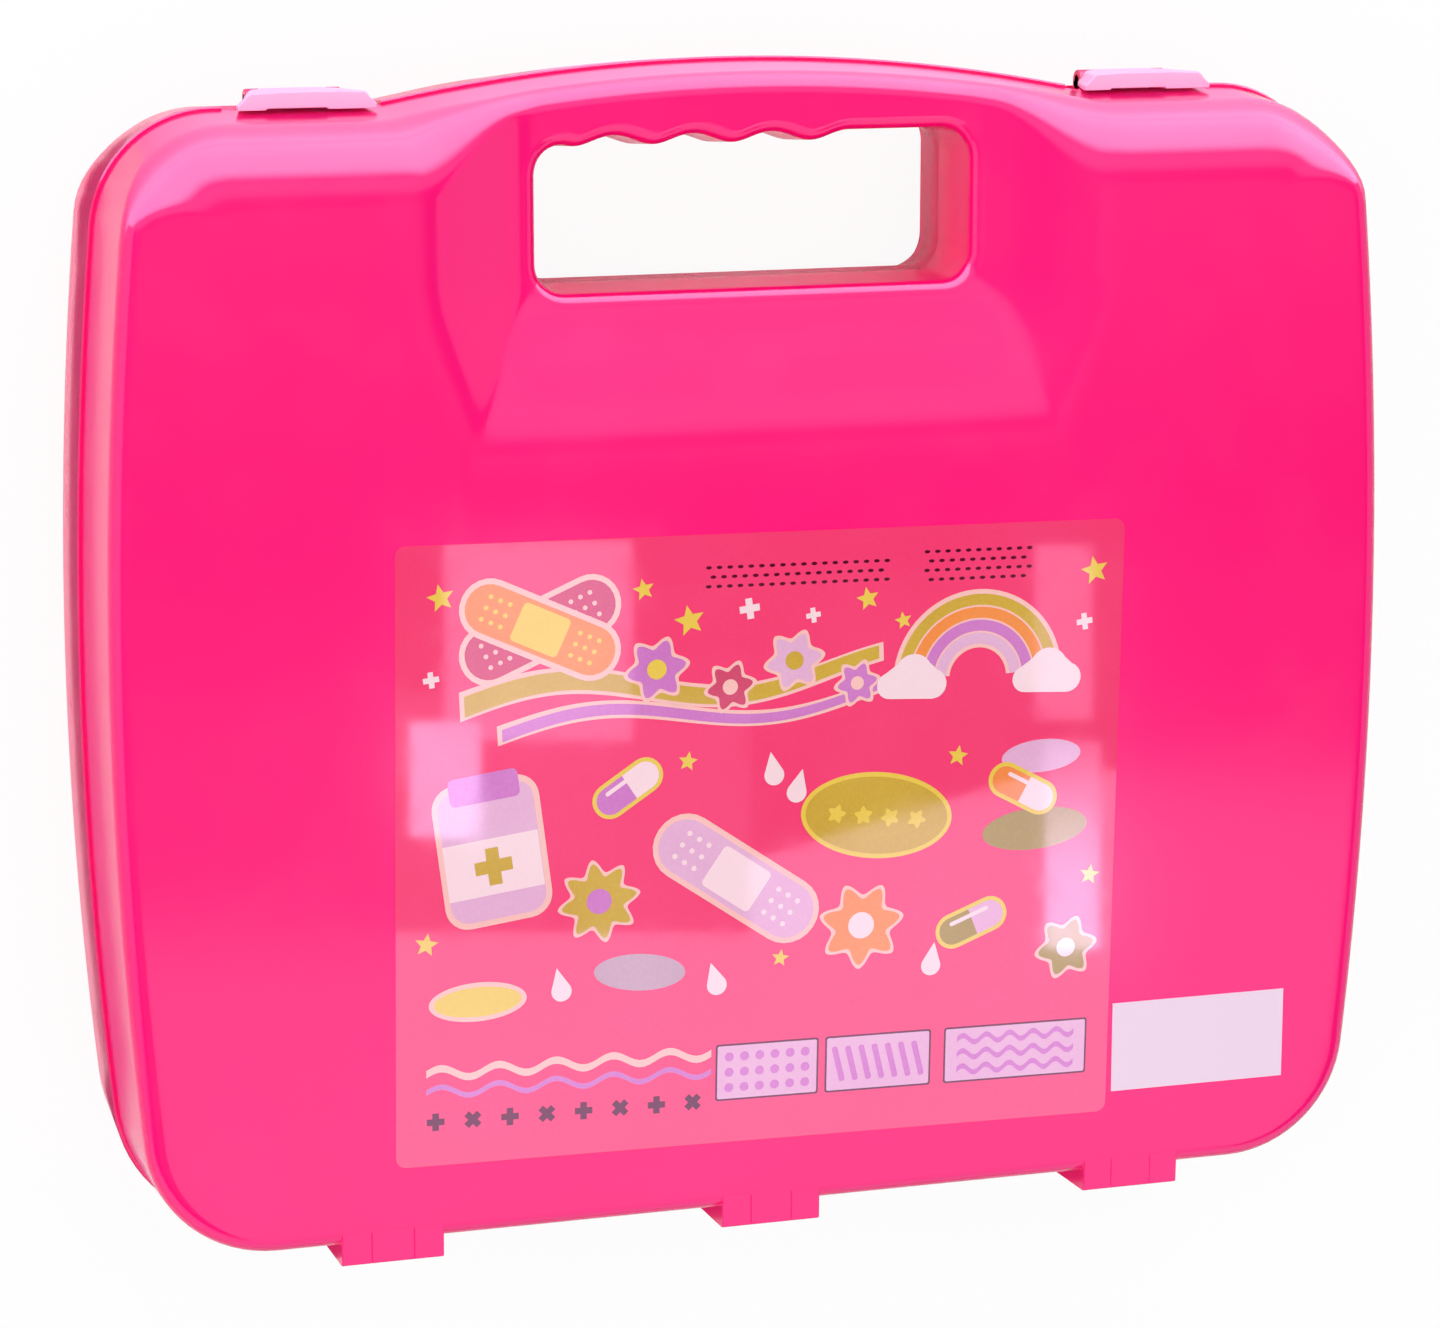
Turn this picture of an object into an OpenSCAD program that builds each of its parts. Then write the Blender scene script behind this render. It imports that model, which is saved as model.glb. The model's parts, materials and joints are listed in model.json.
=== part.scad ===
// Toy doctor case, lying on its back half with the labelled lid half upwards.
// X runs across the width, +Y towards the carrying grip, -Y towards the hinges, +Z out of the label.
// z = 0 is the flat outer face of the base half, and the origin is under the middle of the case.

/* [Case halves] */
// Width of the case at its widest
case_w = 280; // [250:1:310]
// Length of the case from the hinge wall to the shoulders
case_h = 236; // [215:1:260]
// Depth of the base half, from its outer face to the seam
base_d = 32; // [28:1:40]
// Depth of the lid half, from the seam to its outer face
lid_d = 30; // [26:1:38]
// Wall of both halves
wall = 2; // [1.6:0.1:2.4]
// How far each side wall bows outwards
side_bow = 7.3; // [4:0.1:10]
// Corner radius of the outline at the shoulders
shoulder_r = 25; // [20:1:28]
// Corner radius of the outline at the hinge side
foot_r = 28.5; // [22:0.5:34]
// How far each half narrows from the seam to its face
draft = 1.2; // [0.6:0.1:1.6]
// How far the base rim stands out past the lid rim
rim_step = 0.8; // [0.4:0.1:1]
// Rounding of the shoulder edge
shoulder_round = 16; // [10:0.5:18]
// Rounding of the side and hinge edges
edge_round = 4; // [3:0.5:6]
// Height of the locating tongue inside the seam
tongue_h = 2; // [1:0.2:3]
// Gap between the tongue and the lid wall
tongue_gap = 0.3; // [0.2:0.05:0.5]
// Thickness of the locating tongue
tongue_t = 1; // [0.8:0.1:1.2]

/* [Grip] */
// Width of the hand opening at the seam
grip_w = 92; // [80:1:100]
// Height of the hand opening at the seam
grip_h = 29.5; // [26:0.5:32]
// Distance from the shoulders down to the lower edge of the hand opening
grip_drop = 36.5; // [34:0.5:42]
// Rise of the arched handle bar above the shoulders
arch_rise = 8; // [5:0.2:9]
// Distance between the finger rests
finger_pitch = 17; // [14:0.5:20]
// Depth of the finger rests
finger_depth = 2; // [1:0.2:2.6]
// Place of the first finger rest along the bar
finger_start = -38.5; // [-40:0.5:-34]
// How far the case face dips around the grip
scoop_d = 12; // [8:0.5:14]
// Length of the slope below the grip
scoop_run = 28; // [22:1:34]
// Half of the width of the dip beside the grip
scoop_half = 74; // [70:1:80]

/* [Hinge] */
// Distance between neighbouring hinge blocks
hinge_pitch = 83.1; // [70:0.1:90]
// Width of a hinge block
block_w = 21.9; // [18:0.1:26]
// How far the front of a hinge block stands out past the lid wall
block_out = 3; // [2:0.1:4]
// Outer radius of the hinge knuckles
knuckle_r = 3.2; // [2.6:0.1:3.4]
// Radius of the hinge pins
pin_r = 1.2; // [0.9:0.05:1.3]
// Width of the base knuckle between the two lid knuckles
knuckle_w = 8.3; // [6:0.1:10]

/* [Latches] */
// Distance from the side of the case to the middle of each latch
latch_in = 48.3; // [48:0.1:50]
// Width of a latch
latch_w = 29; // [26:0.5:29]
// Thickness of a latch plate
latch_t = 3.5; // [2.8:0.1:4]
// Width of the neck that carries a latch on its pin
neck_w = 13; // [10:0.5:16]
// Reach of a latch past the seam onto the lid
latch_reach = 6.4; // [5:0.2:8]
// Distance from the seam to the latch pivot
pivot_back = 10; // [9:0.5:12]
// Radius of the latch barrel
barrel_r = 2.3; // [2:0.1:2.6]
// Depth of the pocket in the base wall behind each latch
pocket_d = 2.2; // [1.6:0.1:2.6]

/* [Labels] */
// Width of the label film
label_w = 159; // [140:1:170]
// Height of the label film
label_h = 132; // [110:1:135]
// Thickness of the label film and the sticker
film_t = 0.2; // [0.1:0.05:0.3]
// Width of the small sticker
sticker_w = 40.5; // [30:0.5:42]
// Height of the small sticker
sticker_h = 20; // [15:0.5:24]
// Distance from the right side of the case to the small sticker
sticker_in = 21.5; // [20:0.5:30]
// Distance from the hinge wall to the middle of the small sticker
sticker_up = 29.8; // [26:0.1:40]

/* [Tray] */
// Height of the tray deck above the outer face of the base
deck_z = 20; // [18:0.5:22]
// Sheet thickness of the tray
tray_t = 1; // [0.8:0.1:1.2]
// Gap between the tray edge and the case wall
tray_gap = 2.5; // [2:0.1:4]
// Play around each tool in its well
well_play = 1; // [0.6:0.1:1.5]

/* [Tools] */
// Outer radius of the syringe barrel
syringe_r = 10; // [8:0.5:11]
// Length of the syringe barrel
syringe_l = 62; // [50:1:66]
// Travel of the plunger
plunger_travel = 24; // [15:1:26]
// Radius of the ear scope handle
scope_r = 8.5; // [7:0.5:9.5]
// Length of the ear scope handle
scope_l = 66; // [55:1:72]
// Radius of the hammer head
hammer_r = 11; // [9:0.5:12]
// Length of the hammer head
hammer_l = 44; // [36:1:48]
// Length of the hammer handle
hammer_handle_l = 84; // [70:1:88]
// Length of the thermometer body
thermo_l = 84; // [70:1:90]
// Width of the thermometer body
thermo_w = 20; // [16:0.5:22]
// Length of the mirror handle
mirror_l = 68; // [55:1:74]
// Radius of the mirror disc
mirror_r = 11; // [9:0.5:12]
// Radius of the stethoscope chest piece
chest_r = 18; // [15:0.5:20]
// Radius of the stethoscope tube
tube_r = 3; // [2.5:0.25:3.5]
// Radius of the turn in the stethoscope tube
loop_r = 30; // [24:1:34]
// Length of the pulse checker body
pulse_l = 46; // [38:1:50]
// Width of the pulse checker body
pulse_w = 34; // [28:1:38]
// Width of the name badge
badge_w = 48; // [40:1:50]
// Height of the name badge
badge_h = 32; // [26:1:34]
// Radius of the push buttons on the tools
button_r = 3.2; // [2.6:0.1:3.6]
// Height of a push button above its tool
button_out = 1.6; // [1.2:0.1:2]
// Travel of a push button
button_travel = 1; // [0.6:0.1:1.2]

/* [Hidden] */
$fn = 48;

pink = "#ff1f7d";
clear_pink = "#faaad7";
pale_pink = "#f7c3dc";
lilac = "#c58fd0";
mustard = "#b9a22a";
orange = "#f08a2c";
white = "#f4f0f4";
dark = "#3a2030";

eps = 0.05;
seam = base_d;
grip_y = case_h / 2 - grip_drop;
side_radius = pow(case_h / 2, 2) / (2 * side_bow);
hinge_clear = 0.3;
axis_y = -case_h / 2 - rim_step - hinge_clear - knuckle_r;
pocket_half = latch_w / 2 + 1.7;
pocket_floor = case_h / 2 + rim_step - pocket_d;
barrel_gap = 0.3;
pivot_y = pocket_floor + barrel_gap + barrel_r;
pivot_z = seam - pivot_back;
mid_y = (case_h / 2 + arch_rise + rim_step + axis_y - knuckle_r) / 2;

// Number of steps along each stretch of the outline and the hand opening
bar_n = 14;
bend_n = 7;
corner_n = 6;
side_n = 7;
foot_n = 9;

lid_flare = 1.2;
base_flare = 3;
grip_edge = 3;
grip_corner = 5;
face_rings = 10;
face_steps = [for (k = [1 : face_rings]) 1 - pow(1 - k / face_rings, 2)];
round_steps = [22.5, 45, 67.5, 90];

function clamp(t) = max(0, min(1, t));
function smooth(t) = let (u = clamp(t)) u * u * (3 - 2 * u);
function blend(a, b, t) = a + (b - a) * t;
function arc(c, r, a0, a1, n) =
    [for (i = [0 : n - 1]) let (a = a0 + (a1 - a0) * i / n) [c[0] + r * cos(a), c[1] + r * sin(a)]];

// A rectangle with rounded corners, centred on the origin
function round_rect(w, h, r, n = 5) =
    [for (q = [0 : 3]) let (sx = (q == 0 || q == 3) ? 1 : -1, sy = q < 2 ? 1 : -1)
        for (i = [0 : n]) let (a = 90 * q + 90 * i / n)
            [sx * (w / 2 - r) + r * cos(a), sy * (h / 2 - r) + r * sin(a)]];

// ---- Outline of the case at the seam, clockwise from the middle of the handle ----
shoulder_cy = case_h / 2 - shoulder_r;
foot_cy = -case_h / 2 + foot_r;
shoulder_a = atan(shoulder_cy / side_radius);
foot_a = atan(foot_cy / side_radius);
shoulder_y = shoulder_cy + shoulder_r * sin(shoulder_a);
foot_y = foot_cy + foot_r * sin(foot_a);
function side_x(y) = case_w / 2 - y * y / (2 * side_radius);
shoulder_cx = side_x(shoulder_y) - shoulder_r * cos(shoulder_a);
foot_cx = side_x(foot_y) - foot_r * cos(foot_a);
latch_x = case_w / 2 - latch_in;
latch_play = 0.2;
arch_half = latch_x - latch_w / 2 - latch_play;
function arch_y(x) = case_h / 2 + arch_rise * max(0, 1 - pow(x / arch_half, 2));
pocket_in = latch_x - pocket_half;
pocket_out = latch_x + pocket_half;
pocket_soft = 0.4;
bar_end = grip_w / 2 + 4;
top_xs = concat(
    [for (i = [0 : bar_n - 1]) bar_end * i / bar_n],
    [for (i = [0 : bend_n - 1]) blend(bar_end, pocket_in - pocket_soft, i / (bend_n - 1))],
    [pocket_in + pocket_soft, max(arch_half, pocket_in + 2 * pocket_soft), latch_x,
        pocket_out - pocket_soft, min(pocket_out + pocket_soft, shoulder_cx - eps)]);
half_outline = concat(
    [for (x = top_xs) [x, arch_y(x)]],
    [for (i = [0 : corner_n]) let (a = 90 + (shoulder_a - 90) * i / corner_n)
        [shoulder_cx + shoulder_r * cos(a), shoulder_cy + shoulder_r * sin(a)]],
    [for (i = [1 : side_n]) let (y = blend(shoulder_y, foot_y, i / side_n)) [side_x(y), y]],
    [for (i = [1 : corner_n]) let (a = foot_a - (90 + foot_a) * i / corner_n)
        [foot_cx + foot_r * cos(a), foot_cy + foot_r * sin(a)]],
    [for (i = [1 : foot_n]) [foot_cx * (1 - i / foot_n), -case_h / 2]]);
case_outline = concat(half_outline,
    [for (i = [len(half_outline) - 2 : -1 : 1]) [-half_outline[i][0], half_outline[i][1]]]);

// How far the base rim stands out of the outline at each point, less the latch pockets
base_grow = [for (p = case_outline) (p[1] > case_h / 2 - eps && abs(abs(p[0]) - latch_x) < pocket_half)
    ? pocket_floor - p[1] : rim_step];

// ---- Outline of the hand opening at the seam, in the same order and number of points ----
function finger_dip(x) = (x > finger_start - finger_pitch / 2 && x < finger_start + 3.5 * finger_pitch)
    ? finger_depth * (1 + cos(360 * (x - finger_start) / finger_pitch)) / 2 : 0;
function grip_top(x) = grip_y + grip_h - finger_dip(x);
grip_cx = grip_w / 2 - grip_corner;
grip_low = grip_y + grip_corner;
side_count = len(top_xs) - bar_n - bend_n + corner_n + 1 + side_n;
function half_grip(s) = let (
    high = grip_top(s * grip_cx) - grip_corner,
    level = min(high - 1, case_h / 2 - draft - shoulder_round - 1)) concat(
    [for (i = [0 : bar_n - 1]) let (x = s * grip_cx * i / bar_n) [x, grip_top(x)]],
    [for (i = [0 : bend_n - 3]) let (a = 90 - 90 * i / (bend_n - 3))
        [s * (grip_cx + grip_corner * cos(a)), high + grip_corner * sin(a)]],
    [for (i = [1, 2]) [s * grip_w / 2, blend(high, level, i / 2)]],
    [for (i = [1 : side_count]) [s * grip_w / 2, blend(level, grip_low, i / side_count)]],
    [for (i = [1 : corner_n]) let (a = -90 * i / corner_n)
        [s * (grip_cx + grip_corner * cos(a)), grip_low + grip_corner * sin(a)]],
    [for (i = [1 : foot_n]) [s * grip_cx * (1 - i / foot_n), grip_y]]);
grip_outline = let (r = half_grip(1), l = half_grip(-1)) concat(r, [for (i = [len(l) - 2 : -1 : 1]) l[i]]);

// Unit normals that point out of a clockwise outline
function normals(p) = let (n = len(p)) [for (i = [0 : n - 1])
    let (d = p[(i + 1) % n] - p[(i + n - 1) % n], l = norm(d)) [-d[1] / l, d[0] / l]];

// ---- Height of the face above the seam, with the dip around the grip ----
function dip_share(x, y) =
    let (down = clamp((y - (grip_y - 1 - scoop_run)) / scoop_run),
         side = smooth((scoop_half - 10 * (1 - down) - abs(x)) / 24))
    min(down, side);
function face_h(depth, p) = depth - scoop_d * dip_share(p[0], p[1]);
function round_at(p, nrm) = let (
    on_bar = smooth((scoop_half + 2 - abs(p[0])) / 24) * (p[1] > grip_y ? 1 : 0),
    base_round = blend(edge_round, shoulder_round, smooth((nrm[1] - 0.15) / 0.75)))
    blend(base_round, edge_round + 1, on_bar);

// One ring of the shell: distance outwards from the outline and the height above the seam
function ring(o, nrm, dist, hs) = [for (i = [0 : len(o) - 1]) [
    o[i][0] + nrm[i][0] * dist[i], o[i][1] + nrm[i][1] * dist[i], hs[i]]];
function all(n, v) = [for (i = [0 : n - 1]) v];

// Rings of a half shell, from the outer rim over the face to the grip wall and back inside
function shell_rings(depth, grow, flare, tongue) =
    let (o = case_outline, n = len(o), nrm = normals(o), q = grip_outline, qn = normals(q), w = wall,
         rd = [for (i = [0 : n - 1]) round_at(o[i], nrm[i])],
         side = [for (g = grow) g - draft],
         a = [for (i = [0 : n - 1]) o[i] + nrm[i] * (side[i] - rd[i])],
         b = [for (i = [0 : n - 1]) q[i] + qn[i] * (flare + grip_edge)],
         c = [for (i = [0 : n - 1]) q[i] + qn[i] * (flare + w)],
         fa = [for (i = [0 : n - 1]) face_h(depth, a[i])],
         fb = [for (i = [0 : n - 1]) face_h(depth, b[i])])
    concat(
        [ring(o, nrm, grow, all(n, 0))],
        [ring(o, nrm, side, fa - rd)],
        [for (f = round_steps) ring(o, nrm, side - rd * (1 - cos(f)), fa - rd * (1 - sin(f)))],
        [for (t = face_steps) [for (i = [0 : n - 1])
            let (p = blend(a[i], b[i], t)) [p[0], p[1], face_h(depth, p)]]],
        [ring(q, qn, all(n, flare + grip_edge * (1 - sin(45))),
            [for (h = fb) h - grip_edge * (1 - cos(45))])],
        [ring(q, qn, all(n, flare), [for (h = fb) h - grip_edge])],
        [ring(q, qn, all(n, 0), all(n, 0))],
        [ring(q, qn, all(n, w), all(n, 0))],
        [for (k = [len(face_steps) - 1 : -1 : 0]) [for (i = [0 : n - 1])
            let (p = blend(a[i], c[i], face_steps[k])) [p[0], p[1], face_h(depth, p) - w]]],
        [for (k = [len(round_steps) - 1 : -1 : 0]) let (f = round_steps[k]) ring(o, nrm,
            [for (i = [0 : n - 1]) side[i] - w - (rd[i] - w) * (1 - cos(f))],
            [for (i = [0 : n - 1]) fa[i] - rd[i] + (rd[i] - w) * sin(f)])],
        [ring(o, nrm, [for (d = side) d - w], fa - rd)],
        tongue ? let (t_out = -(wall + tongue_gap), t_in = t_out - tongue_t) [
            ring(o, nrm, [for (g = grow) g - w], all(n, 6)),
            ring(o, nrm, all(n, t_in), all(n, 4)),
            ring(o, nrm, all(n, t_in), all(n, -tongue_h)),
            ring(o, nrm, all(n, t_out), all(n, -tongue_h)),
            ring(o, nrm, all(n, t_out), all(n, 0))]
        : [ring(o, nrm, [for (g = grow) g - w], all(n, 0))]);

// A closed tube of rings, where side is 1 for heights upwards and -1 for heights downwards
module ring_solid(rings, side) {
    m = len(rings);
    n = len(rings[0]);
    points = [for (r = rings) for (p = r) [p[0], p[1], seam + side * p[2]]];
    tris = [for (j = [0 : m - 1]) for (i = [0 : n - 1])
        let (a = j * n + i, b = j * n + (i + 1) % n,
             c = ((j + 1) % m) * n + (i + 1) % n, d = ((j + 1) % m) * n + i)
        each (side > 0 ? [[a, b, c], [a, c, d]] : [[a, c, b], [a, d, c]])];
    polyhedron(points, tris);
}

// A profile in the Y-Z plane, given as [y, z] points, drawn out along X and centred on x
module along_x(x, w, profile) {
    translate([x - w / 2, 0, 0]) rotate([90, 0, 90]) linear_extrude(w) polygon(profile);
}
module x_rod(x, y, z, r, w) {
    translate([x - w / 2, y, z]) rotate([0, 90, 0]) cylinder(r = r, h = w);
}

// ---- Hinge ----
ear_w = (block_w - knuckle_w) / 2 - 0.3;
block_y = -case_h / 2 - block_out;
block_top = lid_d - 0.25;
block_in = -case_h / 2 + draft + 0.7;
block_over = -case_h / 2 + draft + edge_round + 0.3;
block_roof = [[block_y, block_top - 0.8], [block_y + 0.8, block_top], [block_over, block_top],
    [block_over, block_top - 1.2], [block_in, block_top - 3.2]];
hinge_xs = [-hinge_pitch, 0, hinge_pitch];
module lid_hinge_block(x) {
    ear = concat([[axis_y - knuckle_r, 0.2], [axis_y - knuckle_r, 1.5], [block_y - 1.2, 8]], block_roof,
        [[block_in, 4], [-case_h / 2 + 0.4, 4], [-case_h / 2 + 0.4, 0.2]]);
    middle = concat([[block_y - 0.8, knuckle_r + 0.4], [block_y - 0.8, 10]], block_roof,
        [[block_in, knuckle_r + 0.4]]);
    for (s = [-1, 1]) difference() {
        union() {
            along_x(x + s * (block_w - ear_w) / 2, ear_w, [for (p = ear) [p[0], seam + p[1]]]);
            x_rod(x + s * (block_w - ear_w) / 2, axis_y, seam, knuckle_r, ear_w);
        }
        x_rod(x + s * (block_w - ear_w) / 2, axis_y, seam, pin_r + 0.01, ear_w + 1);
    }
    along_x(x, block_w - 2 * ear_w + eps, [for (p = middle) [p[0], seam + p[1]]]);
}
module base_knuckle(x) {
    difference() {
        union() {
            x_rod(x, axis_y, seam, knuckle_r, knuckle_w);
            along_x(x, knuckle_w, [[axis_y, seam - knuckle_r],
                [-case_h / 2 - rim_step + 0.4, seam - knuckle_r], [-case_h / 2 - rim_step + 0.4, seam],
                [axis_y, seam]]);
        }
        x_rod(x, axis_y, seam, pin_r + 0.05, knuckle_w + 1);
    }
}
module base_foot(x) {
    foot_y0 = block_y + 0.6;
    foot_y1 = -case_h / 2 - rim_step + draft + 0.7;
    along_x(x, block_w, [[foot_y0, seam - 10], [foot_y0, 2.4], [foot_y1, 2.4], [foot_y1, seam - 6],
        [-case_h / 2 - rim_step + 0.4, seam - 6]]);
}
lug_w = 3.2;
lug_x = neck_w / 2 + 0.35 + lug_w / 2;
module latch_lug(x) {
    difference() {
        union() {
            x_rod(x, pivot_y, pivot_z, barrel_r, lug_w);
            along_x(x, lug_w, [[pocket_floor - 0.8, pivot_z - barrel_r], [pivot_y, pivot_z - barrel_r],
                [pivot_y, pivot_z + barrel_r], [pocket_floor - 0.8, pivot_z + barrel_r]]);
        }
        x_rod(x, pivot_y, pivot_z, pin_r + 0.01, lug_w + 1);
    }
}

// ---- Case halves ----
module base_shell() {
    color(pink) union() {
        ring_solid(shell_rings(base_d, base_grow, base_flare, true), -1);
        for (x = hinge_xs) {
            base_knuckle(x);
            base_foot(x);
        }
        for (s = [-1, 1], e = [-1, 1]) latch_lug(s * latch_x + e * lug_x);
    }
}
module lid_shell() {
    color(pink) union() {
        ring_solid(shell_rings(lid_d, all(len(case_outline), 0), lid_flare, false), 1);
        for (x = hinge_xs) lid_hinge_block(x);
    }
}
module hinge_pins() {
    color("silver") for (x = hinge_xs) x_rod(x, axis_y, seam, pin_r, block_w);
}

// ---- Latches ----
module latch(x) {
    y0 = case_h / 2 + 0.3;
    y1 = y0 + latch_t;
    half = latch_w / 2;
    front = concat(
        [[half, y0], [half, y0 + 1]],
        arc([half - 3.2, y1 - 1.5], 1.5, 20, 90, 4),
        arc([-half + 3.2, y1 - 1.5], 1.5, 90, 160, 4),
        [[-half, y0 + 1], [-half, y0], [-6, y0], [-5.4, y0 + 0.7], [5.4, y0 + 0.7], [6, y0]]);
    color(clear_pink, 0.85) union() {
        translate([x, 0, seam - pivot_back + 4]) linear_extrude(pivot_back - 4 + latch_reach) polygon(front);
        difference() {
            union() {
                along_x(x, neck_w, [[pivot_y - barrel_r + 0.4, pivot_z], [y1 - 0.4, pivot_z],
                    [y1 - 0.4, pivot_z + 5], [y0 + 1, pivot_z + 5], [y0 + 1, pivot_z + 4]]);
                x_rod(x, pivot_y, pivot_z, barrel_r, neck_w);
            }
            x_rod(x, pivot_y, pivot_z, pin_r + 0.05, neck_w + 1);
        }
    }
}
module latch_pins() {
    color("silver") for (s = [-1, 1]) x_rod(s * latch_x, pivot_y, pivot_z, pin_r, 2 * lug_x + lug_w);
}

// ---- Label and sticker ----
label_x = -1.9;
label_y = -35.4;
label_turn = -0.84;
module label_film() {
    color("#fa6e9c") translate([label_x, label_y, seam + lid_d]) rotate([0, 0, label_turn])
        linear_extrude(film_t) polygon(round_rect(label_w, label_h, 2.2));
}
module info_sticker() {
    color(white) translate([case_w / 2 - sticker_in - sticker_w / 2, -case_h / 2 + sticker_up, seam + lid_d])
        linear_extrude(film_t) square([sticker_w, sticker_h], center = true);
}

// ---- Places of the tools in the tray ----
floor_z = wall + tray_t;
// Each place keeps its share of the width or the height of the case
function across(x) = x * case_w / 280;
function along(y) = y * case_h / 236;
syringe_x = -case_w / 2 + across(28);
syringe_y = -case_h / 2 + along(30);
scope_x = syringe_x + across(33);
scope_y = -case_h / 2 + along(18);
hammer_x = case_w / 2 - across(36);
hammer_y = -case_h / 2 + along(14);
chest_x = scope_x + across(43);
thermo_x = chest_x + across(36);
thermo_y = -case_h / 2 + along(19);
mirror_x0 = chest_x - across(20);
mirror_y = thermo_y + along(27);
loop_y = mirror_y + along(52);
chest_y = loop_y + along(38);
yoke_x = chest_x + 2 * loop_r;
yoke_y = grip_y - along(71.5);
arm_r = 16;
arm_l = 12;
pulse_x = hammer_x;
pulse_y = case_h / 2 - along(58);
badge_x = -case_w / 2 + across(38);
badge_y = case_h / 2 - along(36);
flange_w = 34;
scope_head_r = 13;
scope_head_w = 22;
scope_gap = 7;
cuff_l = 13;
cuff_r = 11.8;
neck_l = 22;
nozzle_l = 13;
rest_gap = 0.05;
syringe_z = floor_z + syringe_r + 1 + rest_gap;
scope_z = floor_z + scope_head_r + rest_gap;
hammer_z = floor_z + hammer_r + rest_gap;
mirror_z = floor_z + 7 + rest_gap;
tube_z = floor_z + tube_r + 8;
badge_z = 11;
chest_z = tube_z - 4.75;
tube_floor = tube_z - tube_r - 0.3;
tip_floor = tube_z - 4.4 - 0.3;
scope_head_y = scope_y + scope_l + scope_head_r + scope_gap;
hammer_head_y = hammer_y + hammer_handle_l + hammer_r - 3;
plunger_out = 14;

// Wells of the tray as [x, y, width, height, corner radius, height of the floor]
p2 = 2 * well_play;
barrel_span = syringe_l + plunger_out + plunger_travel + 4;
wells = [
    [syringe_x, syringe_y - nozzle_l / 2 - 2, 12, nozzle_l + 8, 4, floor_z],
    [syringe_x, syringe_y + barrel_span / 2, 2 * syringe_r + p2, barrel_span + p2, 4, floor_z],
    [syringe_x, syringe_y + syringe_l - 1.5, flange_w + p2, 10, 3, floor_z],
    [scope_x, scope_y + scope_l / 2 + 5, 2 * scope_r + p2, scope_l + p2 + 10, 4, floor_z],
    [scope_x + 2, scope_head_y, scope_head_w + 4, 2 * scope_head_r + p2 + 4, 3, floor_z],
    [hammer_x, hammer_y + hammer_handle_l / 2, 18, hammer_handle_l + p2, 5, floor_z],
    [hammer_x, hammer_head_y, hammer_l + 6, 2 * hammer_r + 6, 5, floor_z],
    [thermo_x - 4, thermo_y, thermo_l + 26, thermo_w + p2, 8, floor_z],
    [mirror_x0 + 56, mirror_y, mirror_l + 56, 2 * mirror_r + 4, 8, floor_z],
    [chest_x, chest_y, 2 * chest_r + p2, 2 * chest_r + p2, 10, chest_z - 1.2],
    [chest_x, loop_y + 4, 12, 40, 2, tube_z - tube_r - 0.8 - 0.3],
    [(chest_x + yoke_x) / 2, loop_y - 10, 2 * loop_r + 2 * tube_r + p2, 52, 24, tube_floor],
    [yoke_x, yoke_y - 8, 14, 72, 2, tube_z - tube_r - 2.6 - 0.3],
    [yoke_x, yoke_y + 33, 2 * arm_r + 14, 42, 8, tip_floor],
    [pulse_x, pulse_y, pulse_w + p2, pulse_l + p2, 6, floor_z],
    [pulse_x, pulse_y + pulse_l / 2 + cuff_l / 2, 2 * cuff_r + p2, cuff_l + p2 + 2, 4, floor_z],
    [badge_x, badge_y, badge_w + p2, badge_h + p2, 3, badge_z]
];
module well(w, grow, z0, z1) {
    translate([w[0], w[1], z0]) linear_extrude(z1 - z0)
        polygon(round_rect(w[2] + 2 * grow, w[3] + 2 * grow, w[4] + grow, 3));
}
module tool_tray() {
    o = case_outline;
    nrm = normals(o);
    edge = wall + tray_gap;
    color(pale_pink) difference() {
        union() {
            difference() {
                translate([0, 0, deck_z - tray_t]) linear_extrude(tray_t)
                    polygon([for (i = [len(o) - 1 : -1 : 0]) o[i] - nrm[i] * edge]);
                translate([-grip_w / 2 - 8, grip_y - 7, 0]) cube([grip_w + 16, 60, deck_z + 5]);
            }
            for (w = wells) well(w, tray_t, w[5] - tray_t, deck_z);
        }
        for (w = wells) well(w, 0, w[5], deck_z + 1);
    }
}

// A turned solid along +Y from a profile of [radius, y] points
module turned_y(x, y, z, profile) {
    translate([x, y, z]) rotate([-90, 0, 0]) rotate_extrude() polygon(profile);
}

// ---- Syringe ----
module syringe_barrel() {
    r = syringe_r;
    color(pale_pink, 0.8) union() {
        turned_y(syringe_x, syringe_y, syringe_z, concat(
            [[3.6, -3], [3.6, 2], [r - 1.5, 5], [r - 1.5, syringe_l], [r, syringe_l], [r, 3]],
            arc([r - 3, 3], 3, 0, -90, 6), [[5, 0], [5, -3]]));
        difference() {
            translate([syringe_x, syringe_y + syringe_l - 3, syringe_z]) rotate([-90, 0, 0])
                linear_extrude(3) polygon(round_rect(flange_w, 2 * r + 2, 5));
            translate([syringe_x, syringe_y + syringe_l - 4, syringe_z]) rotate([-90, 0, 0])
                cylinder(r = r - 1, h = 5);
        }
    }
}
module syringe_nozzle() {
    color(lilac) turned_y(syringe_x, syringe_y - 3 - rest_gap - nozzle_l, syringe_z,
        concat([[0, 0]], arc([1.2, 1.2], 1.2, -90, 0, 5), [[2.4, 1.2], [4.6, nozzle_l], [0, nozzle_l]]));
}
module syringe_plunger() {
    color(mustard) union() {
        turned_y(syringe_x, syringe_y + plunger_out, syringe_z, [
            [0, 0], [syringe_r - 2, 0], [syringe_r - 2, 6], [3.4, 8], [3.4, syringe_l - 4],
            [6, syringe_l + 1], [0, syringe_l + 1]]);
        turned_y(syringe_x, syringe_y + syringe_l + plunger_out, syringe_z,
            concat([[0, 0]], arc([syringe_r - 1.2, 1.2], 1.2, -90, 90, 6),
                [[syringe_r - 1.2, 2.4], [0, 2.4]]));
    }
}

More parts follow.
